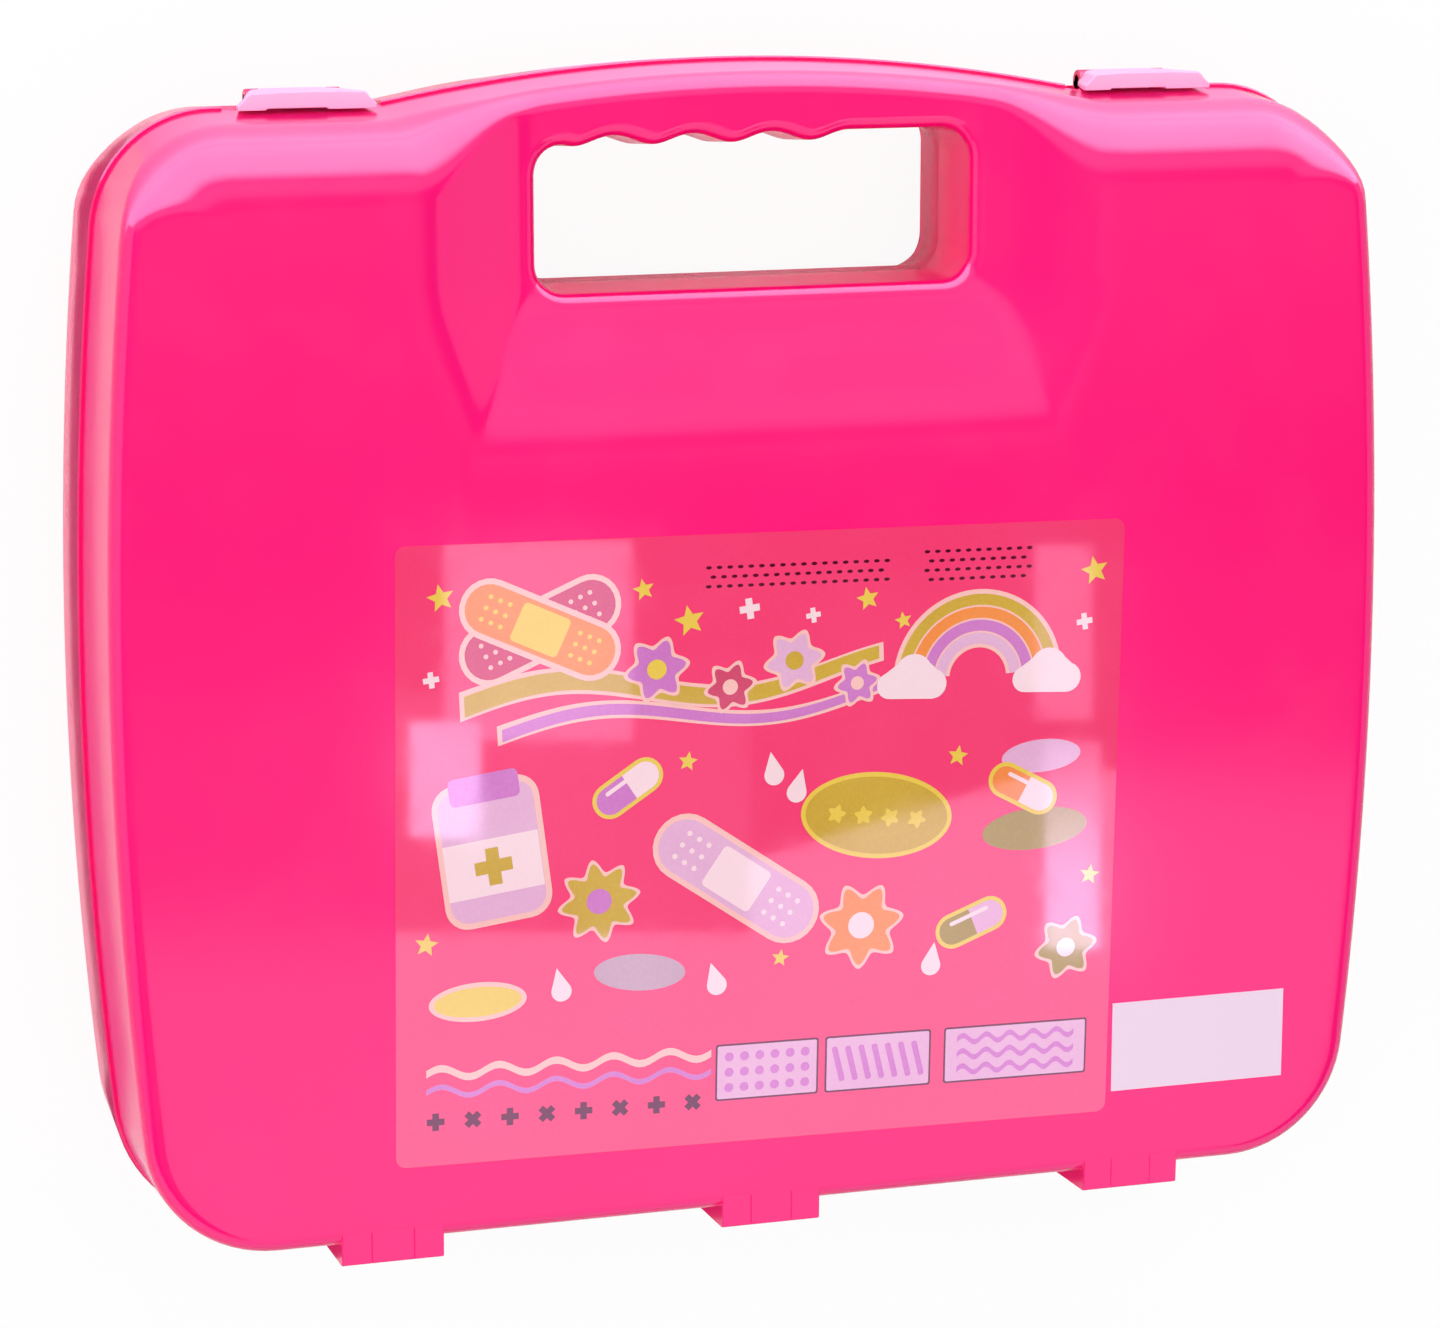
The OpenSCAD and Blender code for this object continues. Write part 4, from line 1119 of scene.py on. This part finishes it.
@dataclass
class LabelPrint:
    """The printed motifs on the label: plasters, flowers, a rainbow, a bottle, pills and plain panels.

    Attributes:
        form: The case's form.
        centre: Middle of the label.
        turn: Turn of the label in degrees.
        film: Thickness of the film.
        step: Height between layers of ink.
        shapes: Each ink's layers and outlines.
    """
    form: CaseForm
    centre: tuple[float, float] = (-1.9, -35.4)
    turn: float = -0.84
    film: float = 0.2
    step: float = 0.02
    shapes: dict = field(default_factory=dict)

    def add(self, ink: Ink, level: int, loop: Points) -> None:
        """Add a flat shape.

        Args:
            ink: Its ink.
            level: Layer of ink, from 1.
            loop: Its outline from the label's middle.
        """
        self.shapes.setdefault(ink, []).append((level, np.asarray(loop, float)))

    @staticmethod
    def moved(loop: Points, x: float, y: float, turn: float = 0.0) -> Points:
        """Turn a loop by degrees and move it."""
        c, s = math.cos(math.radians(turn)), math.sin(math.radians(turn))
        return np.asarray(loop) @ np.array([[c, s], [-s, c]]) + [x, y]

    @staticmethod
    def rounded(w: float, h: float, r: float) -> Points:
        """A rectangle with rounded corners.

        Args:
            w: Width.
            h: Height.
            r: Corner radius.

        Returns:
            A closed loop.
        """
        corners = ((1, 1, 0), (-1, 1, 90), (-1, -1, 180), (1, -1, 270))
        return np.concatenate([arc((sx * (w / 2 - r), sy * (h / 2 - r)), r, a, a + 90, 6)
                               for sx, sy, a in corners])

    @staticmethod
    def oval(rx: float, ry: float) -> Points:
        """An oval."""
        return arc((0, 0), 1, 0, 354, 59) * [rx, ry]

    @staticmethod
    def petals(r: float, count: int, depth: float) -> Points:
        """A flower or star outline whose radius waves.

        Args:
            r: Outer radius.
            count: Number of petals.
            depth: Share of the radius that the notches take.

        Returns:
            A closed loop.
        """
        a = np.radians(np.linspace(0, 360, count * 16, endpoint=False))
        rad = r * (1 - depth * (0.5 - 0.5 * np.cos(count * a)) ** 0.8)
        return np.column_stack([rad * np.cos(a), rad * np.sin(a)])

    @staticmethod
    def star(r: float, inner: float, count: int = 5) -> Points:
        """A star with straight edges.

        Args:
            r: Outer radius.
            inner: Inner radius.
            count: Number of points.

        Returns:
            A closed loop.
        """
        a = np.radians(90 + np.arange(2 * count) * 180 / count)
        rad = np.where(np.arange(2 * count) % 2, inner, r)
        return np.column_stack([rad * np.cos(a), rad * np.sin(a)])

    @staticmethod
    def plus(size: float, arm: float) -> Points:
        """A plus sign.

        Args:
            size: Half of its size.
            arm: Half of an arm's width.

        Returns:
            A closed loop.
        """
        corner = np.array([(size, arm), (arm, arm), (arm, size)])
        quarter_turn = np.array([(0, 1), (-1, 0)])
        return np.concatenate([corner @ np.linalg.matrix_power(quarter_turn, k) for k in range(4)])

    @staticmethod
    def band(r: float, width: float, a0: float, a1: float, steps: int = 36) -> Points:
        """A strip along an arc."""
        return np.concatenate([arc((0, 0), r, a0, a1, steps), arc((0, 0), r - width, a1, a0, steps)])

    @staticmethod
    def ribbon(length: float, width: float, swing: float, waves: float, taper: float = 0.0) -> Points:
        """A waving ribbon along x.

        Args:
            length: Length.
            width: Width at its start.
            swing: Height of a wave.
            waves: Number of waves.
            taper: Share of the width lost at its end.

        Returns:
            A closed loop.
        """
        x = np.linspace(0, length, 60)
        y = swing * np.sin(2 * math.pi * waves * x / length)
        w = width / 2 * (1 - taper * x / length)
        return np.concatenate([np.column_stack([x, y + w]), np.column_stack([x, y - w])[::-1]])

    def plaster(self, x: float, y: float, turn: float, ink: Ink, pad: Ink, level: int,
                size: float = 1.0) -> None:
        """A sticking plaster with a pad and breathing holes.

        Args:
            x: Its place across the label.
            y: Its place up the label.
            turn: Its turn in degrees.
            ink: Ink of the strip.
            pad: Ink of the pad and the holes.
            level: Its lowest layer.
            size: Factor on its size.
        """
        w, h = 34 * size, 10.5 * size
        self.add(Ink.CREAM, level, self.moved(self.rounded(w + 2.4, h + 2.4, h / 2 + 1.1), x, y, turn))
        self.add(ink, level + 1, self.moved(self.rounded(w, h, h / 2 - 0.1), x, y, turn))
        self.add(pad, level + 2, self.moved(self.rounded(w * 0.32, h * 0.82, 1.0), x, y, turn))
        for s in (-1, 1):
            for i in range(3):
                for j in (-1, 0, 1):
                    spot = self.moved([[s * w * (0.24 + 0.065 * i), j * h * 0.24]], x, y, turn)[0]
                    self.add(pad, level + 2, self.moved(self.oval(0.5 * size, 0.5 * size), *spot))

    def flower(self, x: float, y: float, r: float, ink: Ink, heart: Ink, level: int,
               count: int = 6) -> None:
        """A round-petalled flower with a pale rim.

        Args:
            x: Its place across the label.
            y: Its place up the label.
            r: Its radius.
            ink: Ink of the petals.
            heart: Ink of the middle.
            level: Its lowest layer.
            count: Number of petals.
        """
        self.add(Ink.CREAM, level, self.moved(self.petals(r + 0.9, count, 0.3), x, y, 10))
        self.add(ink, level + 1, self.moved(self.petals(r, count, 0.34), x, y, 10))
        self.add(heart, level + 2, self.moved(self.oval(r * 0.33, r * 0.33), x, y))

    def capsule(self, x: float, y: float, turn: float, left: Ink, right: Ink, level: int) -> None:
        """A two-coloured capsule.

        Args:
            x: Its place across the label.
            y: Its place up the label.
            turn: Its turn in degrees.
            left: Ink of the whole capsule.
            right: Ink of its right half.
            level: Its lowest layer.
        """
        w, h = 15.0, 6.0
        self.add(Ink.YELLOW, level, self.moved(self.rounded(w + 1.8, h + 1.8, h / 2 + 0.85), x, y, turn))
        self.add(left, level + 1, self.moved(self.rounded(w, h, h / 2 - 0.05), x, y, turn))
        cap = np.concatenate([arc((w / 2 - h / 2, 0), h / 2, -90, 90, 12), [[0.4, h / 2], [0.4, -h / 2]]])
        self.add(right, level + 2, self.moved(cap, x, y, turn))
        shine = self.moved([[0, h * 0.26]], x, y, turn)[0]
        self.add(Ink.WHITE, level + 3, self.moved(self.rounded(w * 0.62, 0.9, 0.4), *shine, turn))

    def cloud(self, x: float, y: float, size: float = 0.95) -> None:
        """A white cloud of three bumps on a flat foot.

        Args:
            x: Its place across the label.
            y: Its place up the label.
            size: Factor on its size.
        """
        loop = np.concatenate([arc((5, 0), 3.4, -90, 70, 10), arc((0.6, 2.6), 4.4, 30, 150, 12),
                               arc((-5, 0), 3.0, 110, 270, 10)]) * size
        self.add(Ink.WHITE, 5, self.moved(loop, x, y))

    def draw(self) -> None:
        """Lay out the whole print."""
        self.draw_top()
        self.draw_middle()
        self.draw_foot()

    def draw_top(self) -> None:
        """Garland, crossed plasters, rainbow, stars and plus signs."""
        self.add(Ink.CREAM, 1, self.moved(self.ribbon(92, 6.2, 3.4, 1.15, 0.35), -66, 32, 3))
        self.add(Ink.MUSTARD, 2, self.moved(self.ribbon(90, 4.4, 3.4, 1.15, 0.35), -65, 32, 3))
        self.add(Ink.CREAM, 1, self.moved(self.ribbon(84, 4.2, 3.0, 1.05, 0.3), -58, 25.5, 4))
        self.add(Ink.LILAC, 2, self.moved(self.ribbon(82, 2.6, 3.0, 1.05, 0.3), -57, 25.5, 4))
        self.plaster(-49, 47.5, 24, Ink.ROSE, Ink.CREAM, 3)
        self.plaster(-49, 47.5, -24, Ink.ORANGE, Ink.YELLOW, 6)
        for x, y, r, ink, heart in (
                (-24, 38, 6.4, Ink.LILAC, Ink.YELLOW), (-8, 33.5, 5.0, Ink.ROSE, Ink.CREAM),
                (6, 38.5, 6.0, Ink.PALE, Ink.MUSTARD), (20, 33, 4.4, Ink.LILAC, Ink.CREAM)):
            self.flower(x, y, r, ink, heart, 4)
        rainbow = (47, 33)
        self.add(Ink.CREAM, 2, self.moved(self.band(19, 12.6, 4, 176), *rainbow))
        for r, ink in ((18, Ink.MUSTARD), (15.2, Ink.ORANGE), (12.4, Ink.LILAC), (9.6, Ink.PALE)):
            self.add(ink, 3, self.moved(self.band(r, 2.4, 4, 176), *rainbow))
        self.cloud(32, 32)
        self.cloud(62.5, 32)
        self.scatter_stars(12, (-70, 55, 3.0), (-27, 55, 2.4), (-17, 48, 3.4), (22, 51, 2.6),
                           (30, 46, 2.0), (73, 55, 3.2))
        for x, y, size in ((-4, 50, 2.2), (10, 48, 1.6), (71, 44, 1.8), (-72, 38, 1.7)):
            self.add(Ink.WHITE, 3, self.moved(self.plus(size, size * 0.34), x, y, 8))

    def scatter_stars(self, turn: float, *places: Sequence[float]) -> None:
        """Yellow stars, each at x, y with a radius."""
        for x, y, r in places:
            self.add(Ink.YELLOW, 3, self.moved(self.star(r, r * 0.45), x, y, turn))

    def draw_middle(self) -> None:
        """Bottle, ovals, capsules, a plaster, flowers, drops and stars."""
        self.add(Ink.CREAM, 2, self.moved(self.rounded(23, 31, 5), -59, 1, 8))
        self.add(Ink.PALE, 3, self.moved(self.rounded(20.5, 28.5, 4), -59, 1, 8))
        self.add(Ink.LILAC, 4, self.moved(self.rounded(15, 6, 1.2), -60.9, 14.8, 8))
        self.add(Ink.WHITE, 4, self.moved(self.rounded(20.5, 12, 0.3), -58.7, -2, 8))
        self.add(Ink.MUSTARD, 5, self.moved(self.plus(4, 1.4), -58.7, -2, 8))
        for ink, level, rx, ry, x, y, turn in (
                (Ink.YELLOW, 2, 17, 9.4, 25, 4, -6), (Ink.MUSTARD, 3, 16, 8.4, 25, 4, -6),
                (Ink.OLIVE, 2, 12, 4.6, 61, -1, 4), (Ink.GREY, 2, 10, 4.0, -27, -27, -4),
                (Ink.PALE, 2, 9, 3.6, 62, 15, 3), (Ink.CREAM, 2, 10.5, 4.2, -62, -31, 2),
                (Ink.YELLOW, 3, 9.4, 3.2, -62, -31, 2)):
            self.add(ink, level, self.moved(self.oval(rx, ry), x, y, turn))
        for i in range(4):
            self.add(Ink.YELLOW, 4, self.moved(self.petals(2.1, 5, 0.4), 16 + 6 * i, 4.8 - 0.7 * i, 20 * i))
        self.capsule(-30, 13, 34, Ink.LILAC, Ink.WHITE, 3)
        self.capsule(58, 8, -28, Ink.ORANGE, Ink.WHITE, 4)
        self.capsule(47, -21, 22, Ink.OLIVE, Ink.PALE, 3)
        self.plaster(-6, -8, -34, Ink.PALE, Ink.WHITE, 3, 1.15)
        self.flower(-36, -11, 8.2, Ink.MUSTARD, Ink.LILAC, 3, 8)
        self.flower(22, -20, 8.8, Ink.ORANGE, Ink.WHITE, 3, 7)
        self.flower(69, -28, 6.4, Ink.OLIVE, Ink.WHITE, 3, 6)
        drop = np.concatenate([arc((0, 0), 2.2, -200, 20, 14), [[0, 5.2]]])
        for x, y, turn in ((2, 14, 10), (7, 10, -14), (-10, -31, 16), (38, -30, -8), (-44, -30, 12)):
            self.add(Ink.WHITE, 3, self.moved(drop, x, y, turn))
        self.scatter_stars(-9, (-73, -18, 2.6), (-17, 18, 2.2), (43, 16, 2.4), (74, -12, 2.4),
                           (4, -26, 2.0))

    def draw_foot(self) -> None:
        """Three framed panels, two waves and a row of plus signs, and the rows of dots at the top."""
        y, h, pitch = -50.5, 12.5, 3.4
        rows = [y + pitch * j for j in (-1, 0, 1)]
        for x, w in ((1.5, 23), (26.5, 24), (58, 33)):
            self.add(Ink.PLUM, 1, self.moved(self.rounded(w, h, 0.6), x, y))
            self.add(Ink.PALE, 2, self.moved(self.rounded(w - 0.8, h - 0.8, 0.4), x, y))
        for row in rows:
            for i in range(6):
                self.add(Ink.LILAC, 3, self.moved(self.oval(1.0, 1.0), pitch * i - 7, row))
        for i in range(7):
            self.add(Ink.LILAC, 3, self.moved(self.rounded(1.3, 8, 0.5), 17.5 + 3 * i, y, 14))
        for row in rows:
            self.add(Ink.LILAC, 3, self.moved(self.ribbon(27, 1.2, 0.8, 5), 44.5, row))
        self.add(Ink.CREAM, 1, self.moved(self.ribbon(62, 1.6, 1.1, 5), -73, -46))
        self.add(Ink.LILAC, 1, self.moved(self.ribbon(62, 1.2, 1.1, 5), -73, -50))
        for i in range(8):
            self.add(Ink.PLUM, 1, self.moved(self.plus(1.9, 0.7), -71 + 8 * i, -56.5, 45 * (i % 2)))
        for x, top, lines, count in ((-13, 59, 3, 18), (35, 60.5, 4, 11)):
            for j in range(lines):
                for i in range(count - j % 2):
                    dot = self.moved(self.oval(0.62, 0.36), x + 2.3 * i + j % 2, top - 2.0 * j)
                    self.add(Ink.PLUM, 1, dot)

    def build(self) -> None:
        """Make one flat piece for each ink."""
        self.draw()
        top = self.form.seam + self.form.depths[Half.LID] + self.film
        for ink, loops in self.shapes.items():
            work = bmesh.new()
            for level, loop in loops:
                flat = self.moved(loop, self.centre[0], self.centre[1] - self.form.mid_y, self.turn)
                z = (top + level * self.step) * MM
                work.faces.new([work.verts.new((x * MM, y * MM, z)) for x, y in flat])
            work.normal_update()
            for f in work.faces:
                if f.normal.z < 0:
                    f.normal_flip()
            bmesh.ops.triangulate(work, faces=work.faces)
            mesh = bpy.data.meshes.new("print_" + ink.name.lower())
            work.to_mesh(mesh)
            work.free()
            mesh.materials.append(ink.value.material())
            made = placed(mesh.name, mesh)
            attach(made, "lid")
            LOG.info("%s: %d shapes", mesh.name, len(loops))


# ---------------------------------------------------------------- solids that keep their shape

class KeptSolids:
    """The solids that keep their shape and get a finish."""

    def build(self) -> None:
        """Dress each solid by its material slot."""
        slots = {row["node"]: row["material_slot"] for row in frame["record"]["subparts"]}
        for name, solid in frame["nodes"].items():
            material = SLOT_FINISH[slots[name]].material()
            if not solid.material_slots:
                solid.data.materials.append(material)
            for slot in solid.material_slots:
                slot.material = material


# ---------------------------------------------------------------- floor, lights and camera

@dataclass
class Studio:
    """The pale floor, the soft lights, the bright cards that the case reflects, and the camera.

    Attributes:
        camera_at: Where the camera is, in millimetres.
        target: What it looks at.
        lens: Its focal length.
        face_z: Height of the lid's face.
        floor_size: Side of the floor in millimetres.
        floor_white: How far the floor is turned white for the camera.
        world_strength: Strength of the even light from all round.
    """
    camera_at: tuple[float, float, float] = (-263.9, 189.35, 895.4)
    target: tuple[float, float, float] = (-11.57, 2.55, 62.0)
    lens: float = 106.775
    face_z: float = 62.0
    floor_size: float = 12000.0
    floor_white: float = 0.92
    world_strength: float = 0.1

    def panel(self, name: str, shader: Shader, corners: Sequence[Sequence[float]]) -> bpy.types.Object:
        """A flat piece of the studio.

        Args:
            name: Its name.
            shader: Its material.
            corners: Its four corners in millimetres.

        Returns:
            The new object.
        """
        mesh = bpy.data.meshes.new(name)
        mesh.from_pydata([tuple(v * MM for v in c) for c in corners], [], [(0, 1, 2, 3)])
        mesh.materials.append(shader.material)
        made = placed(name, mesh)
        return made

    def glow(self, name: str, strength: float, corners: Sequence[Sequence[float]],
             fade: tuple[int, float, float, float] | None = None,
             tint: Colour = (0.9, 0.64, 1.0)) -> None:
        """A bright card that only shows in reflections.

        Args:
            name: Its name.
            strength: Its radiance.
            corners: Its four corners in millimetres.
            fade: An axis, the places on it where the card is dimmest and full, and its dimmest share.
            tint: Its colour.
        """
        shader = Shader(name)
        colour = tint
        if fade:
            axis, dim, full, least = fade
            colour = shader.mix(shader.axes()[axis].ramp(dim, full, least), (0.0, 0.0, 0.0), tint)
        shine = shader.node("ShaderNodeEmission", None, {"Color": colour, "Strength": strength})
        shader.put(shader.output.inputs[0], shine.outputs[0])
        card = self.panel(name, shader, corners)
        card.visible_camera = card.visible_diffuse = card.visible_shadow = card.visible_transmission = False

    def lamp(self, name: str, at: Sequence[float], size: float, power: float) -> None:
        """A square area lamp that points at the object and doesn't show in reflections.

        Args:
            name: Its name.
            at: Where it is, in metres.
            size: Its side in metres.
            power: Its power in watts.
        """
        light = bpy.data.lights.new(name, "AREA")
        light.energy = power
        light.size = size
        made = placed(name, light)
        made.location = at
        made.rotation_euler = (-Vector(at)).to_track_quat("-Z", "Y").to_euler()
        made.visible_glossy = False

    def mirrored(self, x: float, y: float, height: float) -> tuple[float, float, float]:
        """Where the camera's ray ends that the lid's face reflects.

        Args:
            x: Place on the face that reflects it.
            y: Place on the face that reflects it.
            height: How high above the face the ray ends.

        Returns:
            The point, in millimetres.
        """
        share = height / (self.camera_at[2] - self.face_z)
        at_x, at_y = self.camera_at[:2]
        return (x + (x - at_x) * share, y + (y - at_y) * share, self.face_z + height)

    def floor(self) -> None:
        """A plain pale floor that the camera sees nearly white and that keeps the object's shadow."""
        half = self.floor_size / 2
        shader = Shader("floor_paper")
        tone = shader.mix(shader.noise(300, 2), (0.925, 0.925, 0.925), (0.935, 0.935, 0.935))
        shader.set(Base_Color=tone, Roughness=0.9, Specular_IOR_Level=0.0)
        white = shader.node("ShaderNodeEmission", None, {"Color": (1.0, 1.0, 1.0), "Strength": 1.0})
        seen = Value(shader, shader.node("ShaderNodeLightPath").outputs["Is Camera Ray"])
        blend = shader.node("ShaderNodeMixShader", None,
                            {0: seen * self.floor_white, 1: shader.surface.outputs[0], 2: white.outputs[0]})
        shader.put(shader.output.inputs[0], blend.outputs[0])
        corners = ((-half, -half, 0), (half, -half, 0), (half, half, 0), (-half, half, 0))
        made = self.panel("floor", shader, corners)
        made.location.z = -0.2 * MM

    def flags(self) -> None:
        """Dull strips beside the left wall and the hinges, which reflect them and not the floor."""
        wine, rose, z = (0.35, 0.05, 0.12), (0.75, 0.17, 0.36), 0.3
        hinge_side = ((-115, -142, z), (115, -142, z), (115, -117, z), (-115, -117, z))
        self.glow("hinge_flag", 1.0, hinge_side, tint=wine)
        form = CaseForm()
        loop, out = form.outline()
        left = np.flatnonzero(out[:, 0] < -0.35)
        for name, near, far, tint in (("near_flag", 1.2, 4.6, wine), ("far_flag", 4.6, 11.0, rose)):
            inner, outer = ((loop + out * d)[left] - [0, form.mid_y] for d in (near, far))
            for i in range(0, len(left) - 1, 4):
                j = min(i + 4, len(left) - 1)
                strip = [(*p, z) for p in (inner[i], inner[j], outer[j], outer[i])]
                self.glow(f"{name}_{i}", 1.0, strip, tint=tint)

    def room_cards(self) -> None:
        """Upright cards on four sides, and one that lies before the grip."""
        left, right, grip, hinge = -1800, 2200, 900, -895
        for name, strength, start, end, low, high, fade in (
                ("grip_card", 9.5, (left, grip), (right, grip), 1, 1250, (2, 1250, 650, 0.11)),
                ("grip_card_high", 1.6, (left, grip), (right, grip), 1250, 5500, (2, 5500, 1250, 0.15)),
                ("left_card", 1.6, (left, hinge), (left, -hinge), 60, 1800, None),
                ("right_card", 1.2, (right, hinge), (right, -hinge), 60, 1800, None),
                ("hinge_card", 1.9, (left, hinge), (right, hinge), 60, 760, None)):
            self.glow(name, strength, ((*start, low), (*end, low), (*end, high), (*start, high)), fade)
        near = ((left, 123, 1), (right, 123, 1), (right, grip, 1), (left, grip, 1))
        self.glow("grip_card_low", 8.0, near, (1, 60, 330, 0.0))

    def face_cards(self) -> None:
        """Cards over the lid, each given by the region of the face that reflects it."""
        for name, strength, height, fade, *region in (
                ("upper_card", 0.5, 700, (1, -110, 40, 0.0),
                 (-160, 110), (160, 110), (160, 20), (-160, 20)),
                ("middle_card", 0.5, 700, None, (-160, 5.8), (-5, -3.4), (-5, -55.9), (-160, -43.3)),
                ("foot_left", 2.1, 700, None, (-160, -43.3), (-5, -55.9), (-5, -400), (-160, -400)),
                ("foot_right", 2.1, 700, None, (-5, -40.2), (61.3, -25.3), (61.3, -400), (-5, -400)),
                ("foot_side", 2.1, 700, None, (61.3, -25.3), (160, -32), (160, -400), (61.3, -400)),
                ("film_left", 2.3, 690, None, (-70.2, 32), (-30.5, 29.8), (-30.7, -12.4), (-70.5, -9.7)),
                ("film_corner", 5.5, 680, None, (-78, -5.3), (-63.1, -6.4), (-63.4, -31), (-78.2, -29.7)),
                ("film_right", 1.8, 690, None, (58.2, 24), (71.2, 23.3), (72, -15), (58.9, -14.1)),
                ("film_edge", 8.0, 680, (1, -170, -255, 0.1),
                 (61.2, -18.6), (74, -19.7), (74.6, -66.3), (62, -65))):
            self.glow(name, strength, [self.mirrored(x, y, height) for x, y in region], fade)

    def camera(self) -> None:
        """The camera at the photograph's angle."""
        at, to = Vector(self.camera_at) * MM, Vector(self.target) * MM
        forward = (to - at).normalized()
        right = forward.cross(Vector((0, 1, 0))).normalized()
        up = right.cross(forward)
        data = bpy.data.cameras.new("camera")
        data.lens = self.lens
        data.sensor_width = 36.0
        data.sensor_fit = "HORIZONTAL"
        data.clip_start = 0.01
        made = placed("camera", data)
        turn = Matrix((right, up, -forward)).transposed().to_4x4()
        made.matrix_world = Matrix.Translation(at) @ turn
        bpy.context.scene.camera = made

    def build(self) -> None:
        """Make the whole studio."""
        scene = bpy.context.scene
        scene.view_settings.view_transform = "Standard"
        world = scene.world or bpy.data.worlds.new("world")
        scene.world = world
        world.use_nodes = True
        back = world.node_tree.nodes["Background"]
        back.inputs["Color"].default_value = (1, 1, 1, 1)
        back.inputs["Strength"].default_value = self.world_strength
        self.floor()
        self.camera()
        self.lamp("overhead", (0.0, 0.0, 2.2), 3.0, 53)
        self.lamp("left_fill", (-1.8, 0.2, 0.9), 1.6, 16)
        self.lamp("grip_fill", (0.2, 1.9, 0.8), 1.6, 16)
        self.room_cards()
        self.face_cards()
        self.flags()


def main() -> None:
    """Build the pieces in order."""
    logging.basicConfig(level=logging.INFO, format="%(name)s %(message)s")
    form = CaseForm()
    Studio().build()
    KeptSolids().build()
    CaseShell(form, Half.BASE).build()
    CaseShell(form, Half.LID).build()
    Hinges(form).build()
    Latches(form).build()
    LabelPrint(form).build()


if __name__ == "__main__":
    main()
